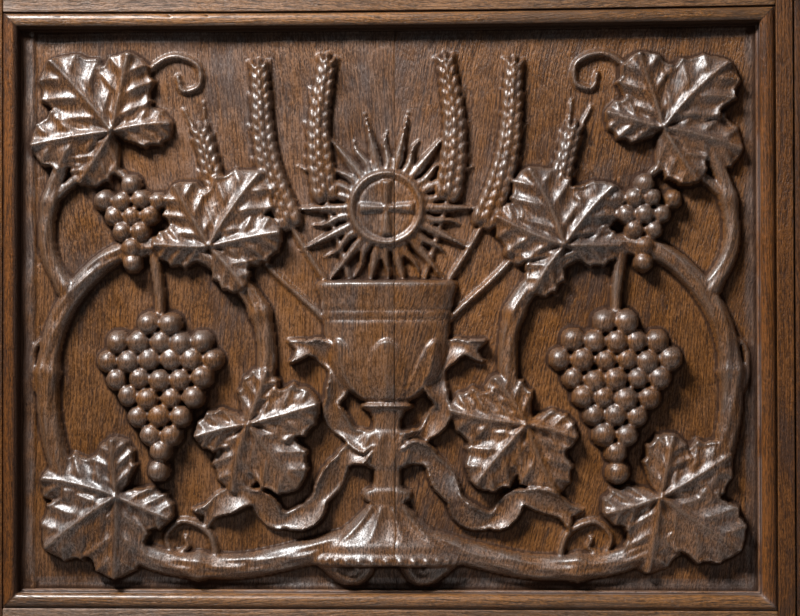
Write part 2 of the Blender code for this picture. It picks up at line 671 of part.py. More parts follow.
def build_base(sole_cuts):
    half_a = POST_OUTER_X + SOLE_OVERHANG
    half_b = SOLE_DEPTH / 2
    edge = [(SOLE_EDGE - x, SOLE_THICKNESS - SOLE_EDGE + z) for x, z in arc((0, 0), SOLE_EDGE, 0, 90, 5)]
    rings = [(SOLE_ARRIS, 0.0), (0.0, SOLE_ARRIS)] + edge
    sole = piece("sole", slab_mesh(half_a, half_b, rings), "frame_oak")
    for cut in sole_cuts:
        boolean(sole, cut, "DIFFERENCE")
    level = lambda a, b, q: (a, b, q)
    names = ["back_skirting", "front_skirting", "right_skirting", "left_skirting"]
    mitred_set(names, POST_OUTER_X, POST_DEPTH / 2, skirting_outline(), level, "frame_oak")
    names = ["back_base_moulding", "front_base_moulding", "right_base_moulding", "left_base_moulding"]
    mitred_set(names, POST_OUTER_X, POST_DEPTH / 2, base_moulding_outline(), level, "moulding_oak")
    for row, facing in (("front", -1), ("back", 1)):
        for label, sign in (("left", -1), ("right", 1)):
            mid = sign * BLOCK_SPACING / 2
            face = facing * POST_DEPTH / 2
            inner = facing * (POST_DEPTH / 2 - BLOCK_SIDE)
            foot = POST_FLOOR_Z
            outline = [(face, foot), (inner, foot), (face, foot + BLOCK_SIDE)]
            place = lambda run, y, z: (run, y, z)
            body = outline_mesh(outline, mid - BLOCK_LENGTH / 2, mid + BLOCK_LENGTH / 2, place)
            piece(row + "_" + label + "_glue_block", body, "joinery_oak")


# Top: cap with a thumb edge and the bed moulding below it
def bed_moulding_outline():
    """Fillet, ogee and top fillet, hung below the cap."""
    top = FRAME_TOP_Z - FIT
    floor = top - BED_MOULDING_HEIGHT
    start = floor + BED_FOOT_HEIGHT
    rise = top - BED_LIP_HEIGHT - start
    swing = BED_MOULDING_REACH - BED_FOOT_REACH
    points = [(FIT, floor), (BED_FOOT_REACH, floor), (BED_FOOT_REACH, start)]
    for k in range(1, 11):
        t = k / 10
        bend = t - math.sin(2 * math.pi * t) / (2 * math.pi)
        points.append((BED_FOOT_REACH + swing * bend, start + rise * t))
    return points + [(BED_MOULDING_REACH, top), (FIT, top)]


def build_cap(cap_cuts):
    half_a = POST_OUTER_X + CAP_OVERHANG
    half_b = CAP_DEPTH / 2
    low = CAP_FLOOR_Z
    under = [(CAP_UNDER_EDGE - x, low + CAP_UNDER_EDGE + z) for x, z in arc((0, 0), CAP_UNDER_EDGE, -90, 0, 3)]
    over = [(CAP_EDGE - x, CAP_TOP_Z - CAP_EDGE + z) for x, z in arc((0, 0), CAP_EDGE, 0, 90, 6)]
    cap = piece("cap", slab_mesh(half_a, half_b, under + over), "frame_oak")
    for cut in cap_cuts:
        boolean(cap, cut, "DIFFERENCE")
    level = lambda a, b, q: (a, b, q)
    names = ["back_bed_moulding", "front_bed_moulding", "right_bed_moulding", "left_bed_moulding"]
    mitred_set(names, POST_OUTER_X, POST_DEPTH / 2, bed_moulding_outline(), level, "moulding_oak")


def build_rail():
    clear_scene()
    holes = shared_holes()
    post_cuts = []
    for label, side in (("left", -1), ("right", 1)):
        low, high = post_tenon_box(side, FIT)
        post_cuts.append(cutter(label + "_post_seat", block_mesh(low, high)))
    build_posts(holes)
    build_stiles()
    build_rails(holes)
    build_pegs()
    build_dowels()
    build_panel()
    build_mouldings()
    build_base(post_cuts)
    build_cap(post_cuts + holes["dowels"])


build_rail()
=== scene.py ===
"""Looks of one bay of an oak communion rail: carved panel, mouldings, frame, plinth and cap."""
import math

import bmesh
import bpy
import numpy as np
from mathutils import Matrix, Vector


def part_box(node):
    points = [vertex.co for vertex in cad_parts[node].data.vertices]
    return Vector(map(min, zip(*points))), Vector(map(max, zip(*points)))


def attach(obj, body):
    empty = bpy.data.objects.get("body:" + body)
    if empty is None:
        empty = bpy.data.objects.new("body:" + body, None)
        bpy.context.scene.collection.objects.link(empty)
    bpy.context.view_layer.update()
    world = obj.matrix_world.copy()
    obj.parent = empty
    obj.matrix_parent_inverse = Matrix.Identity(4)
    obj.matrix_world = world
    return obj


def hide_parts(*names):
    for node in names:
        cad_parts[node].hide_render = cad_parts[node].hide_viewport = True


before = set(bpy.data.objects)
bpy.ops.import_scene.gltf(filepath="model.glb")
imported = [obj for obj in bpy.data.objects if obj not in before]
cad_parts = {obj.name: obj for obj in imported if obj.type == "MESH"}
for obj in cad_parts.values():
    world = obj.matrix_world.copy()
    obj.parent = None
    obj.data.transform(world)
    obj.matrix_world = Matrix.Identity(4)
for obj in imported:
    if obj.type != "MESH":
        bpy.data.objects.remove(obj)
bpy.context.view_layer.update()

# Places of the joinery, read from the frame
FACE_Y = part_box("left_stile")[0].y
FRAME_BACK_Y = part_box("left_stile")[1].y
HALF_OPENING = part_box("right_stile")[0].x
OPENING_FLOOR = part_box("bottom_rail")[1].z
OPENING_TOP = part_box("top_rail")[0].z
OPENING_MID = (OPENING_FLOOR + OPENING_TOP) / 2
HALF_OPENING_HEIGHT = (OPENING_TOP - OPENING_FLOOR) / 2
HALF_PANEL_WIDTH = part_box("right_panel_board")[1].x
HALF_PANEL_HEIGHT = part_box("right_panel_board")[1].z - OPENING_MID
BOARD_BACK_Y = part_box("right_panel_board")[1].y
GROUND_SINK = 0.013
GROUND_Y = FACE_Y + GROUND_SINK
FIT = 0.0003
MILLIMETRE = 0.001


# Carving of the panel, in millimetres: heights over the ground, u to the right and v up from the middle
CARVING_STEP = 1.25
BOARD_JOINT = 7.0
HALF_JOINT_GAP = 0.15
CARVED_HALF_WIDTH = 307.2
CARVED_HALF_HEIGHT = 234.6
HIGHEST_FORM = 25.0
LEFT_BORDER = 9.0
RIGHT_BORDER = 3.6
LEVEL_BORDER = 3.0
BORDER_GOUGE_CUTS = ((-60, 5.5), (-8, 5.0), (46, 6.0), (-131, 5.0), (118, 5.2))
LEAF_LOBES = ((116, 0.66, 0.0), (-116, 0.66, 0.0), (57, 0.88, 0.8), (-57, 0.88, 0.8), (0, 1.0, 1.8))

# Levels and half widths of the turned cup, from its foot up
CUP_PROFILE = {
    "foot": ((0, 64), (5, 66), (8, 65), (10, 60), (13, 59), (17, 57), (22, 48), (30, 37), (39, 26), (47, 19)),
    "lower_ring": ((52, 15), (54, 19), (58, 21), (62, 19)),
    "stem": ((64, 12.5), (74, 11), (80, 12)),
    "knop": ((82, 17), (86, 23.5), (93, 27.5), (100, 27.5), (107, 23), (111, 17)),
    "neck": ((113, 12), (120, 11.5), (127, 14)),
    "upper_ring": ((130, 19), (133, 20), (136, 19)),
    "bowl": ((139, 24), (147, 36), (158, 44.5), (170, 49), (186, 51.5), (206, 53.5), (222, 55.5)),
    "lip": ((229, 58), (233, 59), (237, 57)),
}


def smooth_line(points, per_span=12):
    """Points of a flowing line through the given ones."""
    knots = np.array(points, float)
    knots = np.vstack((2 * knots[0] - knots[1], knots, 2 * knots[-1] - knots[-2]))
    spans = []
    for a, b, c, d in zip(knots, knots[1:], knots[2:], knots[3:]):
        t = np.linspace(0, 1, per_span, endpoint=False)[:, None]
        bend = (2 * a - 5 * b + 4 * c - d) * t**2
        spans.append(0.5 * (2 * b + (c - a) * t + bend + (3 * b - a - 3 * c + d) * t**3))
    return np.vstack(spans + [knots[-2:-1]])


def softened(field, spread):
    """A field blurred over a spread given in grid cells."""
    pad = int(4 * spread) + 2
    wide = np.pad(field, pad, mode="edge")
    down = np.fft.fftfreq(wide.shape[0])[:, None]
    over = np.fft.rfftfreq(wide.shape[1])[None, :]
    damp = np.exp(-2 * (np.pi * spread) ** 2 * (over**2 + down**2))
    return np.fft.irfft2(np.fft.rfft2(wide) * damp, s=wide.shape)[pad:-pad, pad:-pad]


def unevenness(shape, spread, seed):
    """Smooth unevenness of a hand-cut surface, with a standard deviation of one."""
    rough = softened(np.random.default_rng(seed).normal(size=shape), spread)
    return rough / rough.std()


def fade(value, low, high):
    """Smooth step from 0 at low to 1 at high."""
    t = np.clip((value - low) / (high - low), 0, 1)
    return t * t * (3 - 2 * t)


def bell(value):
    """Bell curve: 1 at 0 and near 0 beyond 2."""
    return np.exp(-(value**2))


def spot(over, up, at, spread):
    """Soft oval spot round a place."""
    return np.exp(-(((over - at[0]) / spread[0]) ** 2) - ((up - at[1]) / spread[1]) ** 2)


def turned_axes(over, up, angle):
    """Distances along and across a direction."""
    along = over * math.cos(angle) + up * math.sin(angle)
    return along, up * math.cos(angle) - over * math.sin(angle)


class Carving:
    """Height map of the carved field; each motif is raised out of it."""

    def __init__(self):
        count_v = int(round(CARVED_HALF_HEIGHT / CARVING_STEP))
        halves = []
        left_half = (-CARVED_HALF_WIDTH, BOARD_JOINT - HALF_JOINT_GAP)
        right_half = (BOARD_JOINT + HALF_JOINT_GAP, CARVED_HALF_WIDTH)
        for low, high in (left_half, right_half):
            halves.append(np.linspace(low, high, int(round((high - low) / CARVING_STEP)) + 1))
        self.u = np.concatenate(halves)
        self.v = np.linspace(-CARVED_HALF_HEIGHT, CARVED_HALF_HEIGHT, 2 * count_v + 1)
        self.over, self.up = np.meshgrid(self.u, self.v)
        self.height = np.zeros_like(self.over)

    def patch(self, low, high):
        """Window of the grid between two corners, with its coordinates."""
        left, right = np.searchsorted(self.u, (low[0], high[0]))
        floor, top = np.searchsorted(self.v, (low[1], high[1]))
        window = (slice(floor, top), slice(left, right))
        return window, self.over[window], self.up[window]

    def around(self, at, reach):
        """Square window round a place, with coordinates from there."""
        window, over, up = self.patch((at[0] - reach, at[1] - reach), (at[0] + reach, at[1] + reach))
        return window, over - at[0], up - at[1]

    def lift(self, window, height, inside):
        """Raise the ground to a form where the form is higher."""
        kept = self.height[window]
        self.height[window] = np.where(inside, np.maximum(kept, height), kept)

    def beside(self, line, reach):
        """Window round a line: distance to it, share of its length there, side of it; and its length."""
        window, over, up = self.patch(line.min(0) - reach, line.max(0) + reach)
        gap = np.full(over.shape, 1e6)
        share = np.zeros(over.shape)
        side = np.ones(over.shape)
        runs = np.diff(line, axis=0)
        lengths = np.hypot(runs[:, 0], runs[:, 1])
        starts = np.concatenate(([0], np.cumsum(lengths)))
        for origin, run, length, start in zip(line, runs, lengths, starts):
            du = over - origin[0]
            dv = up - origin[1]
            t = np.clip((du * run[0] + dv * run[1]) / length**2, 0, 1)
            off = np.hypot(du - t * run[0], dv - t * run[1])
            nearer = off < gap
            gap = np.where(nearer, off, gap)
            share = np.where(nearer, (start + t * length) / starts[-1], share)
            side = np.where(nearer, np.sign(run[0] * dv - run[1] * du), side)
        return window, gap, share, side, starts[-1]

    def stem(self, points, thick, thin, rise, ridges=0.0, knots=()):
        """Rounded stem that tapers, with twisted ridges of bark and swollen knots."""
        line = smooth_line(points)
        window, gap, share, side, length = self.beside(line, 1.4 * max(thick, thin))
        radius = thick + (thin - thick) * share
        for knot in knots:
            radius = radius * (1 + 0.24 * bell((share - knot) * length / 7.0))
        across = np.clip(gap / radius, 0, 1) * side
        dome = np.sqrt(1 - across**2)
        start, end = rise
        height = start + (end - start) * share + 0.95 * radius * dome
        height += ridges * np.cos(6 * np.arcsin(across) + share * length / 9.0) * dome
        height += 0.5 * ridges * np.cos(11 * np.arcsin(across) - share * length / 14.0) * dome
        self.lift(window, height, gap < radius)

    def leaf(self, at, length, turn, rise, seed):
        """Vine leaf of five lobes, scooped into flutes between raised ribs, with a sharp rim."""
        chance = np.random.default_rng(seed)
        window, over, up = self.around(at, length * 1.15)
        for spread, share, rank in LEAF_LOBES:
            size = share * length * chance.uniform(0.95, 1.05)
            angle = math.radians(turn + spread + chance.uniform(-6, 6))
            along, across = turned_axes(over, up, angle)
            t = np.clip(along / size, 1e-4, 1 - 1e-4)
            across = across - chance.uniform(-0.16, 0.16) * size * t * t
            # Flutes run outward from the middle rib and end in cusps at the rim
            flute = ((along - 0.75 * np.abs(across)) / (0.27 * size) + 0.35) % 1
            cusp = (2 * flute - 1) ** 2
            half = 0.92 * size * t**0.74 * (1 - t) ** 0.56 * (0.90 + 0.17 * cusp * fade(t, 0.05, 0.25))
            s = np.abs(across) / np.maximum(half, 0.05)
            body = fade(s, 1.04, 0.1)
            height = rise + rank + 5.5 * body + chance.uniform(-4.5, 5.0) * t * t
            height += 2.4 * np.sin(5.5 * t + chance.uniform(0, 6)) * s * s
            height += 2.6 * (cusp - 0.5) * fade(s, 0.04, 0.35)
            # Middle rib between two cuts, and the sharp rim
            rib = 3.0 * np.exp(-np.abs(across) / 2.2) * (1 - t) ** 0.35
            height += rib - 1.2 * np.exp(-((np.abs(across) - 5.0) ** 2) / 12)
            height += 1.7 * bell(((1 - s) * half - 1.6) / 1.5)
            self.lift(window, height, (s < 1) & (along > 0) & (along < size))

    def ribbon(self, points, half_width, rise, turns):
        """Silk ribbon that turns over as it goes, scooped between its two edges, with a notched end."""
        line = smooth_line(points)
        window, gap, share, side, length = self.beside(line, 1.3 * half_width)
        swing = np.sin(2 * np.pi * (turns * share + 0.1))
        half = half_width * (0.62 + 0.38 * np.abs(swing)) * fade(share, 0.0, 0.06) + 1.2
        a = np.clip(gap / half, 0, 1) * side
        height = rise + 2.6 * a * a + 4.2 * a * swing + 2.0 * np.cos(2 * np.pi * turns * share)
        height += 1.2 * bell((1 - np.abs(a)) * half - 1.3)
        notch = (1 - share) * length < 0.7 * half * (1 - np.abs(a)) + 1.0
        self.lift(window, height, (gap < half) & ~notch)

    def bunch(self, top, width, height, radius, rise, seed):
        """Hanging bunch of grapes in rows, broad above and pointed below."""
        chance = np.random.default_rng(seed)
        rows = int(height / (1.55 * radius))
        for row in range(rows + 1):
            down = row / rows
            spread = width * np.interp(down, (0, 0.18, 0.4, 0.7, 1), (0.55, 0.95, 1.0, 0.62, 0.12))
            count = max(1, round(spread / (1.72 * radius)))
            count -= (count + row + rows) % 2 if count > 1 else 0
            for k in range(count):
                off = (k - (count - 1) / 2) * 1.78 * radius + chance.normal(0, 0.08 * radius)
                size = radius * chance.uniform(0.93, 1.07)
                swell = 7.0 * math.sqrt(max(0.0, 1 - min(1.0, (2 * off / width) ** 2))) * (1 - 0.35 * down)
                at = (top[0] + off, top[1] - 1.55 * radius * row + chance.normal(0, 0.07 * radius))
                window, over, up = self.around(at, size)
                gap = np.hypot(over, up)
                ball = rise + swell + chance.normal(0, 0.6) + np.sqrt(np.clip(size**2 - gap**2, 0, None))
                ball -= 0.9 * np.exp(-((over - 0.1 * size) ** 2 + (up + 0.32 * size) ** 2) / 1.5)
                self.lift(window, ball, gap < size)

    def kernel(self, at, length, width, turn, rise, swell):
        """One grain of wheat with its crease."""
        window, over, up = self.around(at, length * 0.6)
        along, across = turned_axes(over, up, turn)
        half = width / 2 * np.clip(1 - 0.7 * along / length, 0.4, 1.4)
        oval = (2 * along / length) ** 2 + (across / half) ** 2
        dome = np.clip(1 - oval, 0, 1)
        height = rise + swell * np.sqrt(dome) - 0.8 * bell(across / 0.8) * dome
        self.lift(window, height, oval < 1)

    def wheat(self, points, ear_start, width, rise):
        """Stalk with an ear of overlapping grains and fine awns."""
        self.stem(points, 2.7, 2.2, (rise, rise + 1.0))
        line = smooth_line(points)
        runs = np.hypot(*np.diff(line, axis=0).T)
        share = np.concatenate(([0], np.cumsum(runs))) / runs.sum()
        count = int((1 - ear_start) * runs.sum() / 8.6)
        places = []
        for k in range(count + 1):
            s = ear_start + (1 - ear_start) * k / count
            here = np.array([np.interp(s, share, line[:, i]) for i in (0, 1)])
            back = np.array([np.interp(s - 0.02, share, line[:, i]) for i in (0, 1)])
            turn = math.atan2(*(here - back)[::-1])
            places.append((here, turn, 1 - 0.42 * k / count))
        for here, turn, taper in places[1::3]:
            for side in (-1, 1):
                root = here + side * 0.42 * width * taper * np.array((-math.sin(turn), math.cos(turn)))
                lean = turn + side * 0.19
                tip = root + 25 * np.array((math.cos(lean), math.sin(lean)))
                self.stem((root, (root + tip) / 2, tip), 1.5, 0.9, (rise + 0.6, rise + 0.2))
        for here, turn, taper in places:
            for side in (-1, 1):
                off = side * 0.40 * width * taper * np.array((-math.sin(turn), math.cos(turn)))
                length = 18 * (0.72 + 0.28 * taper)
                self.kernel(here + off, length, 10.0 * taper, turn + side * 0.46, rise + 1.4, 6.5)
            ahead = 3.4 * np.array((math.cos(turn), math.sin(turn)))
            length = 13.5 * (0.72 + 0.28 * taper)
            self.kernel(here + ahead, length, 7.6 * taper, turn, rise + 4.2, 5.2)

    def chalice(self, foot):
        """Turned cup in half relief: gadrooned foot, knop, bowl with a calyx of leaves."""
        levels, widths = zip(*(place for form in CUP_PROFILE.values() for place in form))
        tall = levels[-1]
        window, over, up = self.patch((-70, foot), (70, foot + tall + 1))
        up = up - foot
        fine = np.linspace(0, tall, 4 * tall + 1)
        half = np.pad(np.interp(fine, levels, widths), 3, mode="edge")
        half = np.interp(up, fine, np.convolve(half, np.ones(7) / 7, "valid"))
        turn = np.arcsin(np.clip(over / half, -1, 1))
        height = 3.0 + 0.30 * half * np.cos(turn) + 3.0 * bell(half / 12 - 1)
        # Gadroons of the foot and the knop
        height += 3.0 * (0.6 - np.abs(np.cos(5.5 * turn))) * fade(up, 18, 23) * fade(up, 50, 44)
        height += 2.0 * (0.6 - np.abs(np.cos(6.5 * turn))) * fade(up, 82, 88) * fade(up, 110, 105)
        # Leaves of the calyx under the bowl, and two rings cut round it
        petal = np.abs(np.cos(3.5 * turn))
        calyx = fade(139 + 50 * petal**0.6 - up, 0.0, 2.0) * fade(up, 137, 140)
        rib = 1.6 * np.exp(-np.abs(np.sin(3.5 * turn)) / 0.18)
        height += calyx * (2.6 + rib - 2.0 * petal * (1 - petal) * 2.5)
        for ring in (205, 213):
            height -= 0.9 * bell((up - ring) / 1.1)
        self.lift(window, height, (np.abs(over) < half) & (up >= 0) & (up <= tall))
        # Beads round the foot and the upper ring
        for k in range(-8, 9):
            angle = k * math.pi / 17
            self.bead((63 * math.sin(angle), foot + 4.2), 3.1, 2.5 + 19.6 * math.cos(angle))
            self.bead((19.5 * math.sin(angle) * 1.02, foot + 133), 2.0, 8.0 + 5.2 * math.cos(angle))

    def bead(self, at, radius, rise):
        """Small half ball."""
        window, over, up = self.around(at, radius)
        gap = np.hypot(over, up)
        self.lift(window, rise + np.sqrt(np.clip(radius**2 - gap**2, 0, None)), gap < radius)

    def host(self, at, radius):
        """Round host with a moulded rim and a plain cross, in a ring of straight and waved rays."""
        window, over, up = self.around(at, 2.7 * radius)
        reach = np.hypot(over, up)
        angle = np.arctan2(up, over)
        pitch = math.pi / 14
        index = np.round(angle / pitch)
        straight = index % 2 == 0
        tip = radius * np.where(straight, 2.55, 2.0)
        out = np.clip((tip - reach) / (tip - radius), 0, 1)
        half = out * np.where(straight, 5.4, 4.8)
        wave = np.where(straight, 0, 1.6 * np.sin(reach / 5))
        off = np.abs(reach * np.sin(angle - index * pitch) + wave)
        height = 1.4 + 4.8 * out**0.7 + 2.4 * (1 - off / np.maximum(half, 0.1))
        self.lift(window, height, (off < half) & (reach > 0.9 * radius))
        # Distance outside the nearer arm of the cross
        arm = np.minimum(
            np.maximum(np.abs(over) - 2.1 - 0.09 * np.abs(up), np.abs(up) - 0.70 * radius),
            np.maximum(np.abs(up) - 2.1 - 0.09 * np.abs(over), np.abs(over) - 0.70 * radius),
        )
        rim = 2.8 * bell((reach - 0.88 * radius) / 2.6)
        height = 9.0 + rim + 3.2 * np.clip(0.35 - arm / 1.5, 0, 1)
        height = height - bell((reach - 0.74 * radius) / 1.2) - 2.6 * fade(reach, radius - 2.2, radius)
        self.lift(window, height, reach < radius)

    def inset(self):
        """Distance inward from the edge of the field."""
        return np.minimum(CARVED_HALF_WIDTH - np.abs(self.over), CARVED_HALF_HEIGHT - np.abs(self.up))

    def finish(self):
        """Border strip with its gouge cuts, and the unevenness of hand work."""
        forms = self.height * fade(self.inset(), 1.5, 5.0)
        cell = CARVING_STEP
        left = self.over + CARVED_HALF_WIDTH - LEFT_BORDER
        left = left - 0.5 * np.sin(self.up / 23.0) - 0.35 * np.sin(self.up / 7.7)
        right = CARVED_HALF_WIDTH - RIGHT_BORDER - self.over
        rest = CARVED_HALF_HEIGHT - LEVEL_BORDER - np.abs(self.up)
        ground = 2.6 * fade(left, 1.6, 0.0) + 1.2 * fade(np.minimum(right, rest), 1.3, 0.0) - 0.35
        ground += 0.8 * fade(left, 13.0, 1.0) - bell(left - 1.5)
        for level, size in BORDER_GOUGE_CUTS:
            reach = np.hypot(self.over + CARVED_HALF_WIDTH - 12.5, (self.up - level) * 0.9)
            ground -= 0.55 * bell((reach - size) / 0.9) * fade(level - self.up, -2, 2)
        shape = forms.shape
        ground += 0.32 * unevenness(shape, 13 / cell, 5) + 0.09 * unevenness(shape, 3.5 / cell, 6)
        tooled = 0.16 * unevenness(shape, 4.5 / cell, 8) + 0.07 * unevenness(shape, 1.8 / cell, 9)
        height = np.where(forms > 0.4, np.maximum(forms + tooled, ground), ground)
        self.height = np.minimum(softened(height, 0.62), HIGHEST_FORM)

    def raised(self, least):
        """1 on what stands higher than that, with soft edges."""
        return softened((self.height > least).astype(float), 0.8)

    def hollows_crests_and_shade(self):
        """From -1 deep in a hollow to 1 on a crest, with painted shade on the ground next to the mouldings.
        """
        cell = CARVING_STEP
        hollow = np.clip((softened(self.height, 2.4 / cell) - self.height) / 2.5, 0, 1)
        crest = np.clip((self.height - softened(self.height, 1.9 / cell)) / 0.9, 0, 1)
        # Painted shade: the ground is darkened next to each moulding, most under the top one and over the
        # left border strip, where the mouldings shade it.
        shade_below_moulding = fade(CARVED_HALF_HEIGHT - self.up, 9.0, 1.0)
        left, right = CARVED_HALF_WIDTH + self.over, CARVED_HALF_WIDTH - self.over
        shade_beside_moulding = np.maximum(fade(left, 3.0, 0.0), fade(CARVED_HALF_HEIGHT + self.up, 7.0, 2.0))
        shade_beside_moulding = np.maximum(shade_beside_moulding, fade(right, 8.5, 2.5))
        dark = hollow + 0.9 * shade_below_moulding + 0.8 * shade_beside_moulding + 0.55 * fade(left, 10.0, 7.5)
        return crest - np.clip(dark, 0, 1)

    def dusty_places(self):
        """Where a dull haze of old wax lies: on the forms, most on what faces up, and on the border."""
        slope = -np.gradient(softened(self.height, 1.2), CARVING_STEP, axis=0)
        on_forms = self.raised(2.0) * (0.24 + 0.76 * np.clip(1.3 * slope, 0, 1))
        return np.clip(on_forms + 0.70 * fade(self.inset(), 9.6, 7.8), 0, 1)

    def bloom_on_ground(self):
        """Grey wax on the ground round the forms and in broad patches, strengthened toward the upper left and
        weakened low on the left and on the right as a painted sheen.
        """
        cell = CARVING_STEP
        raised = self.raised(1.6)
        round_forms = fade(softened(raised, 7.0 / cell), 0.04, 0.5)
        patches = fade(unevenness(raised.shape, 26 / cell, 12), -0.2, 1.4)
        # Painted sheen: the grey is strongest round the upper left, where the lamp would shine off the
        # ground, and weakest low on the left and on the right.
        most = spot(self.over, self.up, (-110, 130), (150, 130))
        least = spot(self.over, self.up, (-285, -50), (80, 140))
        least += spot(self.over, self.up, (285, 40), (110, 150))
        share = np.clip(0.34 + 0.86 * most - 0.34 * least, 0, 1)
        share *= 0.45 * round_forms + 0.55 * patches + 0.3 * most
        hollow = softened(self.height, 2.4 / cell) - self.height
        return np.clip(share, 0, 1) * (1 - raised) * fade(hollow, 1.2, 0.3)


def carve_panel():
    """Cup and host between two vines, with ears of wheat behind them."""
    carving = Carving()
    for side in (-1, 1):
        extra = 0 if side > 0 else 40

        def mirrored(points):
            return [(side * u, v) for u, v in points]

        def turned(angle):
            return angle if side > 0 else 180 - angle

        carving.wheat(mirrored(((8, -60), (30, 20), (50, 90), (57, 150), (50, 206))), 0.60, 16.5, 1.2)
        carving.wheat(mirrored(((10, -60), (44, 10), (80, 70), (101, 130), (107, 202))), 0.54, 16.5, 1.6)
        carving.wheat(mirrored(((12, -62), (52, -10), (100, 36), (136, 84), (156, 148))), 0.56, 16.5, 1.6)
        vine = ((52, -206), (30, -222), (20, -208), (34, -196), (70, -205), (130, -216), (200, -208),
                (258, -166), (285, -90), (277, -10), (228, 46), (160, 48), (110, 4), (102, -60), (124, -110))
        carving.stem(mirrored(vine), 11.2, 7.6, (1.5, 4.5), 0.75, (0.24, 0.40, 0.53, 0.70, 0.86))
        branch = ((266, 10), (286, 50), (282, 100), (262, 140), (236, 158))
        carving.stem(mirrored(branch), 7.6, 5.6, (3.0, 5.0), 0.5, (0.05, 0.5))
        carving.stem(mirrored(((283, 92), (258, 112), (232, 118), (214, 106))), 4.6, 3.6, (4.0, 5.0), 0.2)
        for tendril in (
            ((285, -84), (298, -60), (298, -34), (289, -26), (285, -38), (292, -44)),
            ((142, -214), (150, -188), (172, -178), (186, -190), (180, -204), (168, -200), (170, -192)),
            ((236, 158), (212, 190), (184, 212), (160, 206), (158, 188), (172, 184), (176, 196)),
        ):
            carving.stem(mirrored(tendril), 3.1, 2.0, (3.0, 2.2))
        long_end = ((10, -118), (34, -124), (50, -148), (66, -172), (92, -176), (110, -158), (136, -162),
                    (160, -178))
        carving.ribbon(mirrored(long_end), 9.5, 6.5, 2.6)
        short_end = ((10, -114), (30, -106), (46, -84), (40, -58), (56, -34), (84, -36))
        carving.ribbon(mirrored(short_end), 8.5, 6.0, 2.2)
        carving.stem(mirrored(((196, 48), (192, 20), (190, -8))), 5.2, 4.2, (4.0, 6.0), 0.2)
        carving.bunch((side * 190, -12), 106, 128, 10.0, 3.5, 11 + extra)
        carving.bunch((side * 214, 104), 54, 70, 8.4, 3.5, 21 + extra)
        carving.leaf((side * 226, -156), 77, turned(-36), 8.5, 31 + extra)
        carving.leaf((side * 230, 149), 77, turned(49), 8.0, 32 + extra)
        carving.leaf((side * 148, 52), 72, turned(112), 9.0, 33 + extra)
        carving.leaf((side * 116, -96), 70, turned(229), 8.5, 34 + extra)
    carving.host((0, 84), 33)
    carving.chalice(-214)
    carving.finish()
    return carving


# Node trees
class Tree:
    """Short calls for filling a shader tree."""

    def __init__(self, tree):
        self.tree = tree

    def put(self, kind, inputs=None, **settings):
        """New node with its settings and inputs."""
        node = self.tree.nodes.new(kind)
        for key, value in settings.items():
            setattr(node, key, value)
        for key, value in (inputs or {}).items():
            self.feed(node.inputs[key], value)
        return node

    def feed(self, socket, value):
        """Link a socket to another one, or set its value."""
        if isinstance(value, bpy.types.NodeSocket):
            self.tree.links.new(value, socket)
        else:
            socket.default_value = value

    def reckon(self, operation, first, second=0.0, third=0.0, clamp=False):
        """Outcome of a sum with up to three numbers."""
        inputs = {0: first, 1: second, 2: third}
        return self.put("ShaderNodeMath", inputs, operation=operation, use_clamp=clamp).outputs[0]

    def times(self, first, second, clamp=False):
        return self.reckon("MULTIPLY", first, second, clamp=clamp)

    def scaled(self, first, scale, added, clamp=False):
        """First times scale, plus what is added."""
        return self.reckon("MULTIPLY_ADD", first, scale, added, clamp)

    def minus(self, first, second):
        return self.reckon("SUBTRACT", first, second)

    def shift(self, operation, first, second):
        """Outcome of a sum with two vectors."""
        return self.put("ShaderNodeVectorMath", {0: first, 1: second}, operation=operation).outputs["Vector"]

    def noise(self, place, scale, detail=2.0, roughness=0.5):
        """Noise with its own scale along each axis."""
        stretched = self.shift("MULTIPLY", place, scale)
        inputs = {"Vector": stretched, "Scale": 1.0, "Detail": detail, "Roughness": roughness}
        return self.put("ShaderNodeTexNoise", inputs, noise_dimensions="3D").outputs["Fac"]

    def step(self, value, low, high, start=0.0, end=1.0):
        """Smooth step from start at low to end at high."""
        inputs = {"Value": value, "From Min": low, "From Max": high, "To Min": start, "To Max": end}
        return self.put("ShaderNodeMapRange", inputs, interpolation_type="SMOOTHSTEP").outputs["Result"]

    def mix(self, share, first, second):
        """Share of the second colour over the first."""
        node = self.put("ShaderNodeMix", data_type="RGBA", blend_type="MIX", clamp_factor=True)
        self.feed(node.inputs["Factor"], share)
        self.feed(node.inputs[6], first)
        self.feed(node.inputs[7], second)
        return node.outputs[2]

    def mark(self, name):
        """Value that the mesh carries under a name."""
        return self.put("ShaderNodeAttribute", attribute_name=name, attribute_type="GEOMETRY").outputs["Fac"]


# Socket names of the node groups
GROWTH = ("Ring Width", "Lean", "Streaks", "Strokes")
FIGURE = ("Early Wood", "Pores", "Fibre", "Drift", "Flecks")
STAINS = ("Pale", "Deep", "Grey", "Pore")
# The grime colour darkens hollows and also paints shade beside the mouldings; the bloom colour greys the wood
# and also paints a sheen.
DEPOSITS = ("Rubbed", "Haze", "Bloom", "Grime_and_shade")
POLISH = ("Dull", "Bright", "Broken", "Plain")


def shader_group(name, inputs, outputs):
    """Empty node group; gives the tree and its two ends. The sockets come as pairs of names and kind."""
    group = bpy.data.node_groups.new(name, "ShaderNodeTree")
    for in_out, sockets in (("INPUT", inputs), ("OUTPUT", outputs)):
        for names, kind in sockets:
            for socket in names:
                group.interface.new_socket(socket, in_out=in_out, socket_type="NodeSocket" + kind)
    tree = Tree(group)
    return group, tree, tree.put("NodeGroupInput").outputs, tree.put("NodeGroupOutput").inputs


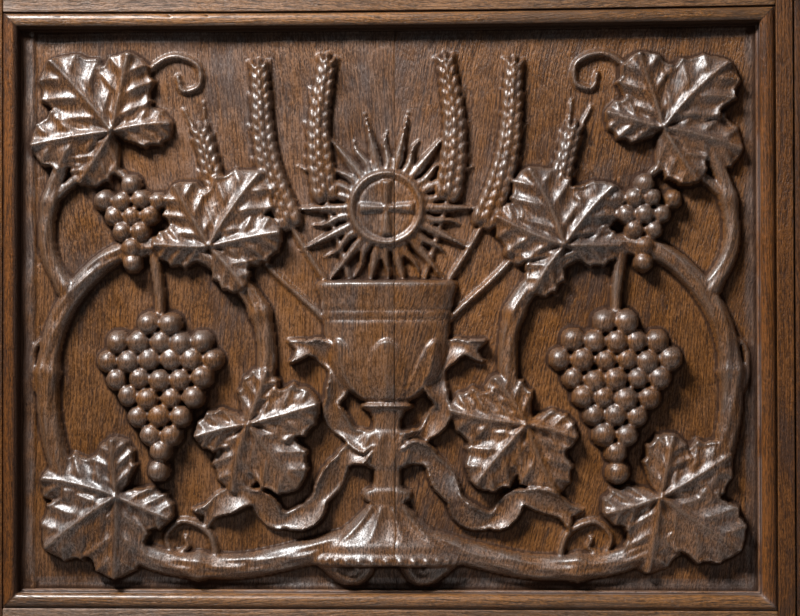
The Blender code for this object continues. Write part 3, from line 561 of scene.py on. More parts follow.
def oak_grain_group():
    """Growth rings, open pores, fibre and broad drift of tone; the grain runs along Z of the place."""
    inputs = ((("Place",), "Vector"), (GROWTH, "Float"))
    group, tree, given, wanted = shader_group("oak_grain", inputs, ((FIGURE, "Float"),))
    place = given["Place"]
    sway = tree.noise(place, (4.0, 4.0, 2.6), 2.0)
    along = tree.put("ShaderNodeSeparateXYZ", {"Vector": place}).outputs["Z"]
    slant = tree.minus(tree.times(sway, 0.07), tree.times(along, given["Lean"]))
    lean = tree.put("ShaderNodeCombineXYZ", {"X": slant, "Y": tree.times(sway, 0.03), "Z": 0.0})
    place = tree.shift("ADD", place, lean.outputs["Vector"])
    waver = tree.noise(place, (60.0, 60.0, 14.0), 2.0)
    split = tree.put("ShaderNodeSeparateXYZ", {"Vector": place}).outputs
    across = tree.scaled(waver, 0.0035, split["X"])
    depth = tree.reckon("ADD", split["Y"], 0.13)
    reach = tree.reckon("SQRT", tree.scaled(across, across, tree.times(depth, depth)))
    phase = tree.reckon("FRACT", tree.reckon("DIVIDE", reach, given["Ring Width"]))
    early = tree.times(tree.step(phase, 0.0, 0.16), tree.step(phase, 0.62, 0.28))
    crowd = tree.noise(place, (22.0, 22.0, 7.0), 2.0)
    dashes = tree.noise(place, (1500.0, 1500.0, 90.0), 1.0)
    dashes = tree.scaled(crowd, 0.16, tree.scaled(early, 0.045, dashes))
    strokes = tree.step(tree.noise(place, (640.0, 640.0, 30.0), 1.0), 0.66, 0.73)
    pores = tree.reckon("MAXIMUM", tree.step(dashes, 0.715, 0.80), tree.times(strokes, given["Strokes"]))
    fibre = tree.noise(place, (880.0, 880.0, 50.0), 3.0, 0.75)
    ticks = tree.noise(place, (950.0, 950.0, 340.0), 2.0, 0.7)
    fibre = tree.reckon("ADD", tree.minus(ticks, 0.5), fibre)
    mottle = tree.noise(place, (150.0, 150.0, 60.0), 4.0, 0.65)
    drift = tree.noise(place, (13.0, 13.0, 4.6), 4.0, 0.6)
    drift = tree.scaled(tree.minus(mottle, 0.5), 0.55, drift)
    streak = tree.noise(place, (170.0, 170.0, 7.0), 2.0)
    drift = tree.scaled(tree.minus(streak, 0.5), given["Streaks"], drift)
    flecks = tree.step(tree.noise(place, (150.0, 520.0, 90.0), 1.0), 0.66, 0.75)
    for name, value in zip(FIGURE, (early, pores, fibre, drift, flecks)):
        tree.feed(wanted[name], value)
    return group


def oak_tone_group():
    """Colour of the oak from its figure."""
    inputs = ((FIGURE, "Float"), (STAINS, "Color"))
    group, tree, given, wanted = shader_group("oak_tone", inputs, ((("Colour",), "Color"),))
    tone = tree.scaled(given["Fibre"], 1.30, tree.times(given["Drift"], 0.80))
    tone = tree.scaled(given["Early Wood"], -0.08, tone)
    wood = tree.mix(tree.step(tone, 0.77, 1.33), given["Deep"], given["Pale"])
    wood = tree.mix(tree.step(given["Drift"], 0.46, 0.27, 0.0, 0.5), wood, given["Grey"])
    wood = tree.mix(tree.times(given["Flecks"], 0.25), wood, given["Pale"])
    tree.feed(wanted["Colour"], tree.mix(tree.times(given["Pores"], 0.82), wood, given["Pore"]))
    return group


def old_wax_group():
    """Old wax: dark in hollows, dull haze on the forms, a grey layer on the ground, rubbed bright on crests;
    the dark also paints shade and the grey also paints a sheen.
    """
    inputs = ((("Colour",), "Color"), (("Place",), "Vector"), (("Pores", "Fibre"), "Float"),
              (DEPOSITS, "Color"), (POLISH, "Float"))
    outputs = ((("Colour",), "Color"), (("Roughness", "Wax"), "Float"))
    group, tree, given, wanted = shader_group("old_wax", inputs, outputs)
    wear_and_shade = tree.mark("wear_and_shade")
    dust = tree.mark("dust")
    patch = tree.noise(given["Place"], (34.0, 34.0, 24.0), 3.0, 0.6)
    fine = tree.noise(given["Place"], (420.0, 420.0, 240.0), 2.0, 0.6)
    crest = tree.times(tree.step(wear_and_shade, 0.12, 0.8), tree.step(patch, 0.3, 0.62, 0.35, 1.0))
    # Grime colour where the wear mark is below 0: old wax in hollows, and painted shade beside the mouldings
    # and on their top and left lengths.
    hollow = tree.step(wear_and_shade, -0.16, -0.85)
    veil = tree.times(dust, tree.step(patch, 0.36, 0.60, 0.12, 1.0))
    veil = tree.times(veil, tree.step(fine, 0.25, 0.6, 0.55, 1.0))
    # Grey layer: wax on the ground, and a painted sheen toward the boards' upper left and the rails' left
    # ends.
    bloom_and_sheen_mask = tree.times(tree.mark("bloom"), tree.step(patch, 0.3, 0.6, 0.45, 1.0))
    bloom_and_sheen_mask = tree.times(bloom_and_sheen_mask, tree.step(given["Fibre"], 0.3, 0.7, 0.55, 1.0))
    colour = given["Colour"]
    layers = ((bloom_and_sheen_mask, 0.8, "Bloom"), (veil, 0.75, "Haze"), (crest, 0.62, "Rubbed"), (hollow, 0.9, "Grime_and_shade"))
    for mask, share, deposit in layers:
        colour = tree.mix(tree.times(mask, share), colour, given[deposit])
    tree.feed(wanted["Colour"], colour)
    rough = given["Dull"]
    for mask, share in ((crest, -0.10), (veil, 0.10), (hollow, 0.40), (given["Pores"], 0.18)):
        rough = tree.scaled(mask, share, rough)
    tree.feed(wanted["Roughness"], tree.scaled(tree.minus(patch, 0.5), 0.16, rough, clamp=True))
    wax = tree.times(given["Bright"], tree.scaled(hollow, -1.0, 1.0))
    wax = tree.times(wax, tree.scaled(given["Pores"], -0.8, 1.0))
    gaps = tree.times(tree.step(given["Fibre"], 0.62, 0.40), given["Broken"])
    wax = tree.times(wax, tree.minus(1.0, gaps))
    wax = tree.times(wax, tree.step(dust, 0.02, 0.25, given["Plain"], 1.0))
    tree.feed(wanted["Wax"], tree.times(wax, tree.step(patch, 0.28, 0.6, 0.6, 1.25), clamp=True))
    return group


OAK_GRAIN = oak_grain_group()
OAK_TONE = oak_tone_group()
OLD_WAX = old_wax_group()
ALONG = {"x": (0.0, math.pi / 2, 0.0), "y": (math.pi / 2, 0.0, 0.0), "z": (0.0, 0.0, 0.0)}
GRAIN_DEPTH = 0.00075


def oak_material(name, along, finish):
    """Stained and waxed oak with its grain along one axis of the rail."""
    material = bpy.data.materials.new(name)
    material.use_nodes = True
    material.node_tree.nodes.clear()
    tree = Tree(material.node_tree)
    place = tree.put("ShaderNodeTexCoord").outputs["Object"]
    board = tree.mark("board")
    own = tree.put("ShaderNodeCombineXYZ", {"X": board, "Y": 0.0, "Z": board}).outputs["Vector"]
    mapping = {"Vector": place, "Rotation": ALONG[along]}
    turned = tree.put("ShaderNodeMapping", mapping, vector_type="POINT").outputs["Vector"]
    turned = tree.shift("ADD", turned, own)
    groups = (OAK_GRAIN, OAK_TONE, OLD_WAX)
    grain, tone, age = (tree.put("ShaderNodeGroup", node_tree=group) for group in groups)
    figure = grain.outputs
    for socket in FIGURE:
        tree.feed(tone.inputs[socket], figure[socket])
    for node in (grain, age):
        tree.feed(node.inputs["Place"], turned)
    tree.feed(age.inputs["Colour"], tone.outputs["Colour"])
    for socket in ("Pores", "Fibre"):
        tree.feed(age.inputs[socket], figure[socket])
    for node, sockets in ((grain, GROWTH), (age, POLISH)):
        for socket in sockets:
            tree.feed(node.inputs[socket], finish[socket.lower().replace(" ", "_")])
    for node, sockets in ((tone, STAINS), (age, DEPOSITS)):
        for socket in sockets:
            tree.feed(node.inputs[socket], (*finish[socket.lower()], 1.0))
    relief = tree.scaled(figure["Pores"], -0.55, figure["Fibre"])
    relief = tree.scaled(figure["Early Wood"], -0.18, relief)
    raised_grain = {"Height": relief, "Strength": finish["tooth"], "Distance": GRAIN_DEPTH}
    bump = tree.put("ShaderNodeBump", raised_grain)
    shader = tree.put("ShaderNodeBsdfPrincipled", {
        "Base Color": age.outputs["Colour"],
        "Roughness": age.outputs["Roughness"],
        "Coat Weight": age.outputs["Wax"],
        "Coat Roughness": finish["gloss"],
        "Coat IOR": finish["wax"],
        "Specular IOR Level": finish["shine"],
        "Normal": bump.outputs["Normal"],
    })
    tree.put("ShaderNodeOutputMaterial", {"Surface": shader.outputs["BSDF"]})
    return material


# Finishes: stain, wax and wear of each kind of wood; the level pieces are lighter, partly as painted light
# from above
CARVED_FINISH = dict(
    ring_width=0.0031, lean=0.0, streaks=0.4, strokes=0.2,
    pale=(0.224, 0.0840, 0.0150), deep=(0.067, 0.0245, 0.0052),
    grey=(0.052, 0.029, 0.0215), pore=(0.028, 0.0115, 0.0055),
    rubbed=(0.120, 0.068, 0.040), haze=(0.066, 0.0500, 0.0455),
    bloom=(0.158, 0.113, 0.097), grime_and_shade=(0.034, 0.0125, 0.0045),
    dull=0.36, bright=1.0, broken=0.75, plain=0.38, gloss=0.42, wax=2.12, shine=0.32, tooth=1.0,
)
RIGHT_FINISH = dict(
    CARVED_FINISH, lean=0.20, strokes=0.7, shine=0.28, wax=2.04,
    pale=(0.247, 0.0918, 0.0157), deep=(0.075, 0.0267, 0.0055), pore=(0.018, 0.0075, 0.004),
)
PLAIN_FINISH = dict(CARVED_FINISH, wax=1.5, plain=1.0)
FRAME_FINISH = dict(PLAIN_FINISH, rubbed=(0.235, 0.100, 0.031), ring_width=0.0036)
# Level rails: lighter and greyer than the stiles, partly as painted light from above; their grey colour for
# the left ends is a painted sheen.
RAIL_FINISH_AND_TOP_LIGHT = dict(
    FRAME_FINISH, dull=0.42, bright=0.8, broken=0.4, shine=0.5,
    pale=(0.320, 0.140, 0.043), deep=(0.122, 0.052, 0.0145), grey=(0.105, 0.056, 0.030),
    bloom=(0.300, 0.262, 0.245),
)
SLAB_FINISH = dict(RAIL_FINISH_AND_TOP_LIGHT, dull=0.54, bright=0.25, shine=0.36)
STILE_FINISH = dict(
    FRAME_FINISH, streaks=0.6, dull=0.46, bright=0.35, gloss=0.29,
    pale=(0.200, 0.072, 0.0155), deep=(0.070, 0.0245, 0.006),
)
POST_FINISH = dict(STILE_FINISH, pale=(0.126, 0.045, 0.0105), deep=(0.044, 0.016, 0.005))
MOULDING_FINISH = dict(
    FRAME_FINISH, ring_width=0.0027, streaks=0.7, dull=0.40, bright=0.5, broken=0.5, gloss=0.29,
    pale=(0.212, 0.072, 0.014), deep=(0.062, 0.022, 0.006), haze=(0.220, 0.172, 0.160),
)
# Lighter than the upright mouldings, partly as painted light from above.
LEVEL_MOULDING_FINISH_AND_TOP_LIGHT = dict(
    MOULDING_FINISH, streaks=0.55, bright=1.0, broken=0.3, gloss=0.28, shine=0.4,
    pale=(0.300, 0.1225, 0.0285), deep=(0.102, 0.0415, 0.010), grey=(0.098, 0.048, 0.022),
)
JOINERY_FINISH = dict(
    PLAIN_FINISH, ring_width=0.0034, dull=0.62, bright=0.06, gloss=0.35, tooth=0.9, shine=0.4,
    pale=(0.300, 0.185, 0.095), deep=(0.165, 0.092, 0.045), grey=(0.200, 0.150, 0.110),
    pore=(0.075, 0.045, 0.026), rubbed=(0.330, 0.215, 0.120), haze=(0.230, 0.200, 0.170),
    grime_and_shade=(0.040, 0.026, 0.017),
)
OAK = {"carved_oak": {
    "left": oak_material("carved_oak_left", "z", CARVED_FINISH),
    "right": oak_material("carved_oak_right", "z", RIGHT_FINISH),
}}
# The level pieces take the lighter finish, partly painted light from above.
for slot, level_finish_and_top_light, upright_finish in (
    ("frame_oak", RAIL_FINISH_AND_TOP_LIGHT, STILE_FINISH),
    ("moulding_oak", LEVEL_MOULDING_FINISH_AND_TOP_LIGHT, MOULDING_FINISH),
    ("joinery_oak", JOINERY_FINISH, JOINERY_FINISH),
):
    OAK[slot] = {along: oak_material(slot + "_along_" + along, along, level_finish_and_top_light) for along in "xy"}
    OAK[slot]["z"] = oak_material(slot + "_upright", "z", upright_finish)
OAK["joinery_oak"]["peg"] = oak_material("joinery_oak_pegs", "y", STILE_FINISH)
OAK["frame_oak"]["post"] = oak_material("frame_oak_posts", "z", POST_FINISH)
OAK["frame_oak"]["slab"] = oak_material("frame_oak_slabs", "x", SLAB_FINISH)


# Pieces
MOULDING_WAVER = 0.00014
BAR_WAVER = 0.00020
MITRE_EASE = 0.00035
MITRE_EASE_RUN = 0.0005
MITRE_SHADE_RUN = 0.0025
CORNER_DUST_RUN = 0.07
END_STATIONS = np.array([0.0006, 0.003])
NICK_DEPTH = 0.0009
NICK_SPREAD = (0.0018, 0.0011)
NICK_STATIONS = np.array([-3.2, -1.8, -0.8, 0.0, 0.8, 1.8, 3.2]) * MILLIMETRE


def add_piece(name, points, faces, slot, along, nodes, marks, flat_angle=32.0):
    """Mesh piece with its marks of wear, dust, painted shade and painted sheen, riding on the rail in place
    of its CAD nodes.
    """
    mesh = bpy.data.meshes.new(name)
    mesh.from_pydata([tuple(point) for point in points], [], faces)
    body = bmesh.new()
    body.from_mesh(mesh)
    bmesh.ops.recalc_face_normals(body, faces=body.faces)
    body.to_mesh(mesh)
    body.free()
    # Each board is cut from another place of the log
    board = (sum(ord(letter) * (k + 3) for k, letter in enumerate(name)) % 997) / 130.0
    marks = dict(marks, board=np.full(len(points), board))
    for label, values in marks.items():
        mark = mesh.attributes.new(label, "FLOAT", "POINT")
        mark.data.foreach_set("value", np.asarray(values, np.float32))
    mesh.shade_smooth()
    mesh.set_sharp_from_angle(angle=math.radians(flat_angle))
    mesh.materials.append(OAK[slot][along])
    piece = bpy.data.objects.new(name, mesh)
    bpy.context.scene.collection.objects.link(piece)
    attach(piece, "root")
    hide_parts(*nodes)


def rounded_arc(mid, radius, start, end, steps):
    """Points of an arc, angles in degrees."""
    angles = np.radians(np.linspace(start, end, steps + 1))
    return [(mid[0] + radius * math.cos(a), mid[1] + radius * math.sin(a)) for a in angles]


def eased_outline(corners, radii, steps=4):
    """Closed outline with each corner rounded by its own radius."""
    points = []
    count = len(corners)
    for k in range(count):
        here = np.array(corners[k], float)
        before = np.array(corners[k - 1], float) - here
        after = np.array(corners[(k + 1) % count], float) - here
        radius = radii[k]
        if radius <= 0:
            points.append(tuple(here))
            continue
        a = before / np.linalg.norm(before)
        b = after / np.linalg.norm(after)
        half = math.acos(float(np.clip(a @ b, -1, 1))) / 2
        room = 0.48 * min(np.linalg.norm(before), np.linalg.norm(after))
        off = min(radius / math.tan(half), room)
        start, end = here + a * off, here + b * off
        for t in np.linspace(0, 1, steps + 1):
            points.append(tuple((1 - t) ** 2 * start + 2 * t * (1 - t) * here + t**2 * end))
    return points


def with_midpoints(outline, longest):
    """Outline with long sides cut into shorter steps."""
    points = []
    for here, after in zip(outline, outline[1:] + outline[:1]):
        gap = math.dist(here, after)
        cuts = max(1, math.ceil(gap / longest))
        for k in range(cuts):
            t = k / cuts
            points.append((here[0] + (after[0] - here[0]) * t, here[1] + (after[1] - here[1]) * t))
    return points


def turn_marks(outline, reach=0.0016):
    """Wear over a closed outline: 1 on outer corners, -1 in inner ones."""
    ring = np.array(outline + outline[:1], float)
    lengths = np.concatenate(([0], np.cumsum(np.hypot(*np.diff(ring, axis=0).T))))
    total = lengths[-1]
    area = 0.5 * np.sum(ring[:-1, 0] * ring[1:, 1] - ring[1:, 0] * ring[:-1, 1])
    at = lengths[:-1]

    def place(s):
        return np.stack([np.interp(s % total, lengths, ring[:, k]) for k in (0, 1)], -1)

    before, after = place(at - reach), place(at + reach)
    bow = ring[:-1] - (before + after) / 2
    run = after - before
    side = (run[:, 0] * bow[:, 1] - run[:, 1] * bow[:, 0]) * (-1 if area > 0 else 1)
    return np.clip(np.sign(side) * np.hypot(bow[:, 0], bow[:, 1]) / (0.55 * reach), -1, 1)


def hand_waver(count, stations, depth, seed):
    """Slight unevenness of planed wood along a piece: one value for each station and outline point."""
    chance = np.random.default_rng(seed)
    along = np.linspace(0, 1, stations)[:, None]
    waver = np.zeros((stations, count))
    lag = np.linspace(0, 2.0, count)[None, :]
    for waves in (1.3, 2.7, 5.2):
        waver += np.sin(2 * np.pi * (waves * along + chance.uniform()) + lag) / waves**0.5
    return depth * waver / 3


def sweep(outline, stations, place):
    """Points and faces of an outline carried through stations, with closed ends."""
    count = len(outline)
    points = [place(s, k) for s in range(stations) for k in range(count)]
    faces = []
    for s in range(stations - 1):
        for k in range(count):
            after = (k + 1) % count
            faces.append((s * count + k, s * count + after, (s + 1) * count + after, (s + 1) * count + k))
    faces.append(tuple(range(count)))
    faces.append(tuple((stations - 1) * count + k for k in range(count)))
    return points, faces


def mitred_length(name, slot, outline, half_run, half_off, along, sign, set_out, nodes,
                  dust_and_shade=None, step=0.03, seed=1, dusty_end=0, nicks=()):
    """One mitred length of a moulding; p runs outward from the rectangle, q is square to it."""
    ends = END_STATIONS / half_run
    share = [np.linspace(-1, 1, 2 * max(2, round(half_run / step)) + 1), -1 + ends, 1 - ends]
    share = np.unique(np.concatenate(share + [(run + NICK_STATIONS) / half_run for run, _ in nicks]))
    stations = len(share)
    drift = hand_waver(len(outline), stations, MOULDING_WAVER, seed)
    inset = np.array([p for p, _ in outline])
    dents = np.zeros((stations, len(outline)))
    for run, inward in nicks:
        dents += spot(share[:, None] * (half_run + inset), inset, (run, -inward), NICK_SPREAD)

    def place(s, k):
        p, q = outline[k]
        edge = 1.0 - abs(share[s])
        shrink = MITRE_EASE * max(0.0, 1 - edge * half_run / MITRE_EASE_RUN)
        run = share[s] * (half_run + p - FIT / 2)
        off = sign * (half_off + p - abs(drift[s, k]) - shrink)
        return set_out(run, off, q + NICK_DEPTH * dents[s, k])

    points, faces = sweep(outline, stations, place)
    wear_and_shade = np.tile(turn_marks(outline), (stations, 1)) - 1.7 * dents
    mitre = np.clip(1 - (1 - np.abs(share)) * half_run / MITRE_SHADE_RUN, 0, 1)[:, None]
    # Values below 0 in the dust marks given here are painted shade and dark quirks; they move into the wear
    # mark.
    dust = np.zeros_like(wear_and_shade) if dust_and_shade is None else np.tile(dust_and_shade, (stations, 1))
    if dusty_end:
        # Dust has gathered in the corner that this end shares
        inward = (1 - share * dusty_end)[:, None] * half_run
        gathered = np.clip(1 - inward / CORNER_DUST_RUN, 0, 1)
        dust = np.where(dust < 0, dust + (0.9 - dust) * gathered, dust)
        mitre = mitre * (inward > 0.01)
        dust = np.maximum(dust, np.clip(1.2 - inward / 0.003, 0, 0.95))
    wear_and_shade = np.where(dust < 0, dust, wear_and_shade) * (1 - mitre) - 0.75 * mitre
    dust = np.maximum(dust, 0)
    add_piece(name, points, faces, slot, along, nodes, {"wear_and_shade": wear_and_shade.ravel(), "dust": dust.ravel()})


def planed_bar(name, slot, low, high, along, ease, nodes, seed=1, finish=None, rubbed=0.5, left_end_sheen=0.0):
    """Squared length of oak with eased edges and slightly uneven faces."""
    axis = "xyz".index(along)
    a, b = [k for k in range(3) if k != axis]
    corners = [(low[a], low[b]), (high[a], low[b]), (high[a], high[b]), (low[a], high[b])]
    outline = eased_outline(corners, [ease] * 4, 4)
    fadeout = []
    for here, after in zip(outline, outline[1:] + outline[:1]):
        fadeout.append(here)
        gap = math.dist(here, after)
        if gap > 6 * ease:
            t = 1.6 * ease / gap
            fadeout += [tuple(np.array(here) * (1 - u) + np.array(after) * u) for u in (t, 1 - t)]
    outline = with_midpoints(fadeout, 0.03)
    mid = np.array([(low[a] + high[a]) / 2, (low[b] + high[b]) / 2])
    start, end = low[axis], high[axis]
    runs = [start, start + 0.3 * ease, start + ease, start + 3 * ease]
    inner = np.linspace(start + 3 * ease, end - 3 * ease, max(3, round((end - start) / 0.045)))[1:-1]
    runs = np.array(runs + list(inner) + [end - 3 * ease, end - ease, end - 0.3 * ease, end])
    pulled = np.zeros(len(runs))
    pulled[[0, -1]] = ease
    pulled[[1, -2]] = 0.35 * ease
    half = np.array([(high[a] - low[a]) / 2, (high[b] - low[b]) / 2])
    drift = hand_waver(len(outline), len(runs), BAR_WAVER, seed)

    def place(s, k):
        off = np.array(outline[k]) - mid
        off = off * (1 - (pulled[s] + abs(drift[s, k])) / half)
        point = [0.0, 0.0, 0.0]
        point[axis] = runs[s]
        point[a], point[b] = mid + off
        return tuple(point)

    points, faces = sweep(outline, len(runs), place)
    wear_and_shade = np.tile(turn_marks(outline, 1.2 * ease), (len(runs), 1))
    both_ends = [0, 1, 2, -3, -2, -1]
    wear_and_shade[both_ends] = np.maximum(wear_and_shade[both_ends], 0.6)
    wear_and_shade *= rubbed
    front = np.array([point[0] < mid[0] for point in outline])
    # Painted sheen: the front face is greyed from its left end over nearly half its length.
    bloom = left_end_sheen * np.clip(1 - (runs - start) / (0.45 * (end - start)), 0, 1)[:, None] * front
    marks = {"wear_and_shade": wear_and_shade.ravel(), "dust": np.zeros(wear_and_shade.size), "bloom": bloom.ravel()}
    add_piece(name, points, faces, slot, finish or along, nodes, marks)


def worked_slab(name, slot, half_a, half_b, rings, corner, nodes):
    """Level board with a worked edge: rings are (inset, z) from bottom to top."""
    points, wear_and_shade, loops = [], [], []
    (first, floor), (last, top) = rings[0], rings[-1]
    near, far = 0.006, 0.020
    rings = [(first + far, floor)] + rings + [(last + near, top), (last + far, top)]
    bow = turn_marks([(-inset, z) for inset, z in rings], 0.003)
    bow[[0, -1, -2]] = 0.0
    for (inset, z), mark in zip(rings, bow):
        a, b = half_a - inset, half_b - inset
        radius = max(0.0015, corner - 0.4 * inset)
        corners = [(-a, -b), (a, -b), (a, b), (-a, b)]
        ring = eased_outline(corners, [radius] * 4, 5)
        loops.append(range(len(points), len(points) + len(ring)))
        points += [(x, y, z) for x, y in ring]
        wear_and_shade += [mark] * len(ring)
    faces = []
    for lower, upper in zip(loops, loops[1:]):
        count = len(lower)
        for k in range(count):
            after = (k + 1) % count
            faces.append((lower[k], lower[after], upper[after], upper[k]))
    faces += [tuple(loops[0]), tuple(loops[-1])]
    add_piece(name, points, faces, slot, "slab", nodes, {"wear_and_shade": wear_and_shade, "dust": np.zeros(len(wear_and_shade))})


# Carved boards
MARGIN_STEPS = (2.0, 8.0)
JOINT_EDGE_DROP = 0.35
JOINT_EDGE_RUN = 0.9


def carved_boards():
    """Two boards with the carving across their joint, flat at the back."""
    carving = carve_panel()
    fields = {
        "wear_and_shade": carving.hollows_crests_and_shade(),
        "dust": carving.dusty_places(),
        "bloom": carving.bloom_on_ground(),
    }
    # Margins of the boards that lie under the moulding
    margin_u, margin_v = (
        np.array([carved + step for step in MARGIN_STEPS] + [panel / MILLIMETRE])
        for carved, panel in ((CARVED_HALF_WIDTH, HALF_PANEL_WIDTH), (CARVED_HALF_HEIGHT, HALF_PANEL_HEIGHT))
    )
    for side, keep in (("left", carving.u < BOARD_JOINT), ("right", carving.u > BOARD_JOINT)):
        if side == "left":
            u, pads = np.concatenate((-margin_u[::-1], carving.u[keep])), (3, 0)
        else:
            u, pads = np.concatenate((carving.u[keep], margin_u)), (0, 3)
        v = np.concatenate((-margin_v[::-1], carving.v, margin_v))
        height, *shares = (np.pad(field[:, keep], ((3, 3), pads), mode="edge")
                           for field in (carving.height, *fields.values()))
        height -= JOINT_EDGE_DROP * np.clip(1 - np.abs(u - BOARD_JOINT) / JOINT_EDGE_RUN, 0, 1)
        rows, columns = height.shape
        over, up = np.array(np.meshgrid(u, v)) * MILLIMETRE
        front = np.stack((over, GROUND_Y - height * MILLIMETRE, OPENING_MID + up), -1).reshape(-1, 3)
        index = np.arange(rows * columns).reshape(rows, columns)
        quads = np.stack((index[:-1, :-1], index[:-1, 1:], index[1:, 1:], index[1:, :-1]), -1).reshape(-1, 4)
        border = np.concatenate((index[0, :-1], index[:-1, -1], index[-1, :0:-1], index[:0:-1, 0]))
        back = front[border].copy()
        back[:, 1] = BOARD_BACK_Y
        first = rows * columns
        ring = np.arange(first, first + len(border))
        walls = np.stack((border, ring, np.roll(ring, -1), np.roll(border, -1)), -1)
        faces = [tuple(face) for face in quads.tolist() + walls.tolist() + [ring[::-1].tolist()]]
        clean = np.zeros(len(border))
        marks = {label: np.concatenate((share.ravel(), clean)) for label, share in zip(fields, shares)}
        add_piece(side + "_carved_board", np.vstack((front, back)), faces, "carved_oak", side,
                  [side + "_panel_board"], marks, 75.0)


carved_boards()


# Panel moulding with its quirk, round and inner fillet, and the beads behind
def panel_moulding_section():
    """Section in metres: p outward from the opening, y across the frame."""
    rise = np.radians(np.linspace(4, 84, 11))
    fall = np.radians(np.linspace(90, 172, 12))
    inward_and_sink = [(0.3, 12.6), (0.3, 2.2), (0.45, 1.8), (1.45, 1.7)]
    inward_and_sink += [(7.0 - 5.45 * math.cos(a), 1.3 - 3.3 * math.sin(a)) for a in rise]
    inward_and_sink += [(7.0 - 5.75 * math.cos(a), 3.4 - 5.4 * math.sin(a)) for a in fall]
    inward_and_sink += [(12.75, 3.6), (12.8, 7.4), (12.95, 8.1), (13.3, 8.4), (14.2, 8.6), (14.7, 8.8)]
    inward_and_sink += [(14.95, 9.2), (15.0, 9.8), (15.0, 12.6)]
    return [(-p * MILLIMETRE, FACE_Y + sink * MILLIMETRE) for p, sink in inward_and_sink]


def moulding_dust_and_shade(section):
    """Dust on the right and bottom inner fillets; below 0, painted shade on the top fillet and over the left
    moulding, and dark quirks.
    """
    inward = np.array([-p for p, _ in section]) / MILLIMETRE
    quirk, fillet = inward < 1.5, inward > 12.7
    dust_and_shade = np.where(fillet, 0.95, np.where(quirk, -0.5, 0.0))
    # Painted shade: the top length's inner fillet and the whole left length, deepest toward its fillet, lie
    # where the light does not reach.
    dark = np.where((inward > 11.6) | quirk, -0.95, 0.0)
    left = np.where(quirk, -0.5, -0.25 - 0.7 * np.clip((inward - 8.4) / 3.2, 0, 1))
    return {"top": dark, "left": left, "right": dust_and_shade, "bottom": dust_and_shade}


def upright(run_first):
    """Places of a moulding round the panel, level or upright."""
    if run_first:
        return lambda run, off, q: (run, q, OPENING_MID + off)
    return lambda run, off, q: (off, q, OPENING_MID + run)


def level(run_first):
    """Places of a moulding round the posts, along or across the rail."""
    if run_first:
        return lambda run, off, q: (run, off, q)
    return lambda run, off, q: (off, run, q)


def mitred_frame(kind, slot, section, halves, sides, set_out, axes, seed,
                 step=0.03, dust_and_shade=None, wear_of_side=None):
    """Four mitred lengths round a rectangle."""
    for k, side in enumerate(sides):
        run_first, sign = k < 2, 1 - 2 * (k % 2)
        half_run, half_off = halves if run_first else halves[::-1]
        along = axes[0] if run_first else axes[1]
        node = side + "_" + kind
        extra = (wear_of_side or {}).get(side, {})
        mitred_length(node + "_shaped", slot, section, half_run, half_off, along, sign, set_out(run_first),
                      [node], dust_and_shade and dust_and_shade[side], step, seed + k, **extra)


OPENING_HALVES = (HALF_OPENING, HALF_OPENING_HEIGHT)
ROUND_PANEL = ("top", "bottom", "right", "left")
section = panel_moulding_section()
corner_dust_and_nicks = {
    "bottom": {"dusty_end": 1},
    "right": {"dusty_end": -1},
    "top": {"nicks": ((-0.182, 0.0034), (-0.150, 0.0032))},
}
mitred_frame("panel_moulding", "moulding_oak", section, OPENING_HALVES, ROUND_PANEL, upright, "xz", 21, 0.012,
             moulding_dust_and_shade(section), corner_dust_and_nicks)
BEAD_WIDTH, BEAD_ROUND, BEAD_EASE = 0.012, 0.010, 0.0004
bead_front = BOARD_BACK_Y + FIT
bead = [(-BEAD_WIDTH, bead_front), (-FIT, bead_front), (-FIT, FRAME_BACK_Y - BEAD_EASE)]
bead.append((-FIT - BEAD_EASE, FRAME_BACK_Y))
bead += rounded_arc((BEAD_ROUND - BEAD_WIDTH, FRAME_BACK_Y - BEAD_ROUND), BEAD_ROUND, 90, 180, 12)
mitred_frame("back_bead", "joinery_oak", bead, OPENING_HALVES, ROUND_PANEL, upright, "xz", 31)


# Frame: stiles, rails, posts, pegs and battens
STILE_EASE, POST_EASE, RAIL_EASE, BATTEN_EASE = 0.0011, 0.0028, 0.0010, 0.0016
BATTEN_SINK = 0.002
for side in ("left", "right"):
    low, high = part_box(side + "_stile")
    planed_bar(side + "_stile_planed", "frame_oak", low, high, "z", STILE_EASE, [side + "_stile"],
               seed=41 + len(side))
    low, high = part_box(side + "_post")
    low.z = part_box("left_skirting")[0].z
    high.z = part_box("top_rail")[1].z
    planed_bar(side + "_post_planed", "frame_oak", low, high, "z", POST_EASE, [side + "_post"],
               seed=51 + len(side), finish="post", rubbed=0.2)
# Painted sheen toward the left ends of the rails' fronts.
for row, left_end_sheen in (("top", 0.6), ("bottom", 0.5)):
    low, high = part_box(row + "_rail")
    low.x, high.x = -HALF_OPENING + FIT, HALF_OPENING - FIT
    planed_bar(row + "_rail_planed", "frame_oak", low, high, "x", RAIL_EASE, [row + "_rail"],
               seed=61 + len(row), left_end_sheen=left_end_sheen)
for row in ("upper", "lower"):
    low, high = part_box(row + "_batten")
    low.y = BOARD_BACK_Y - BATTEN_SINK
    planed_bar(row + "_batten_planed", "joinery_oak", low, high, "x", BATTEN_EASE, [row + "_batten"],
               seed=71 + len(row))


# The top rail and its moulding have sunk a little in the middle
SAG = 0.0017
for name in ("top_panel_moulding_shaped", "top_rail_planed"):
    for vertex in bpy.data.objects[name].data.vertices:
        vertex.co.z -= SAG * (1 - (vertex.co.x / HALF_OPENING) ** 2)


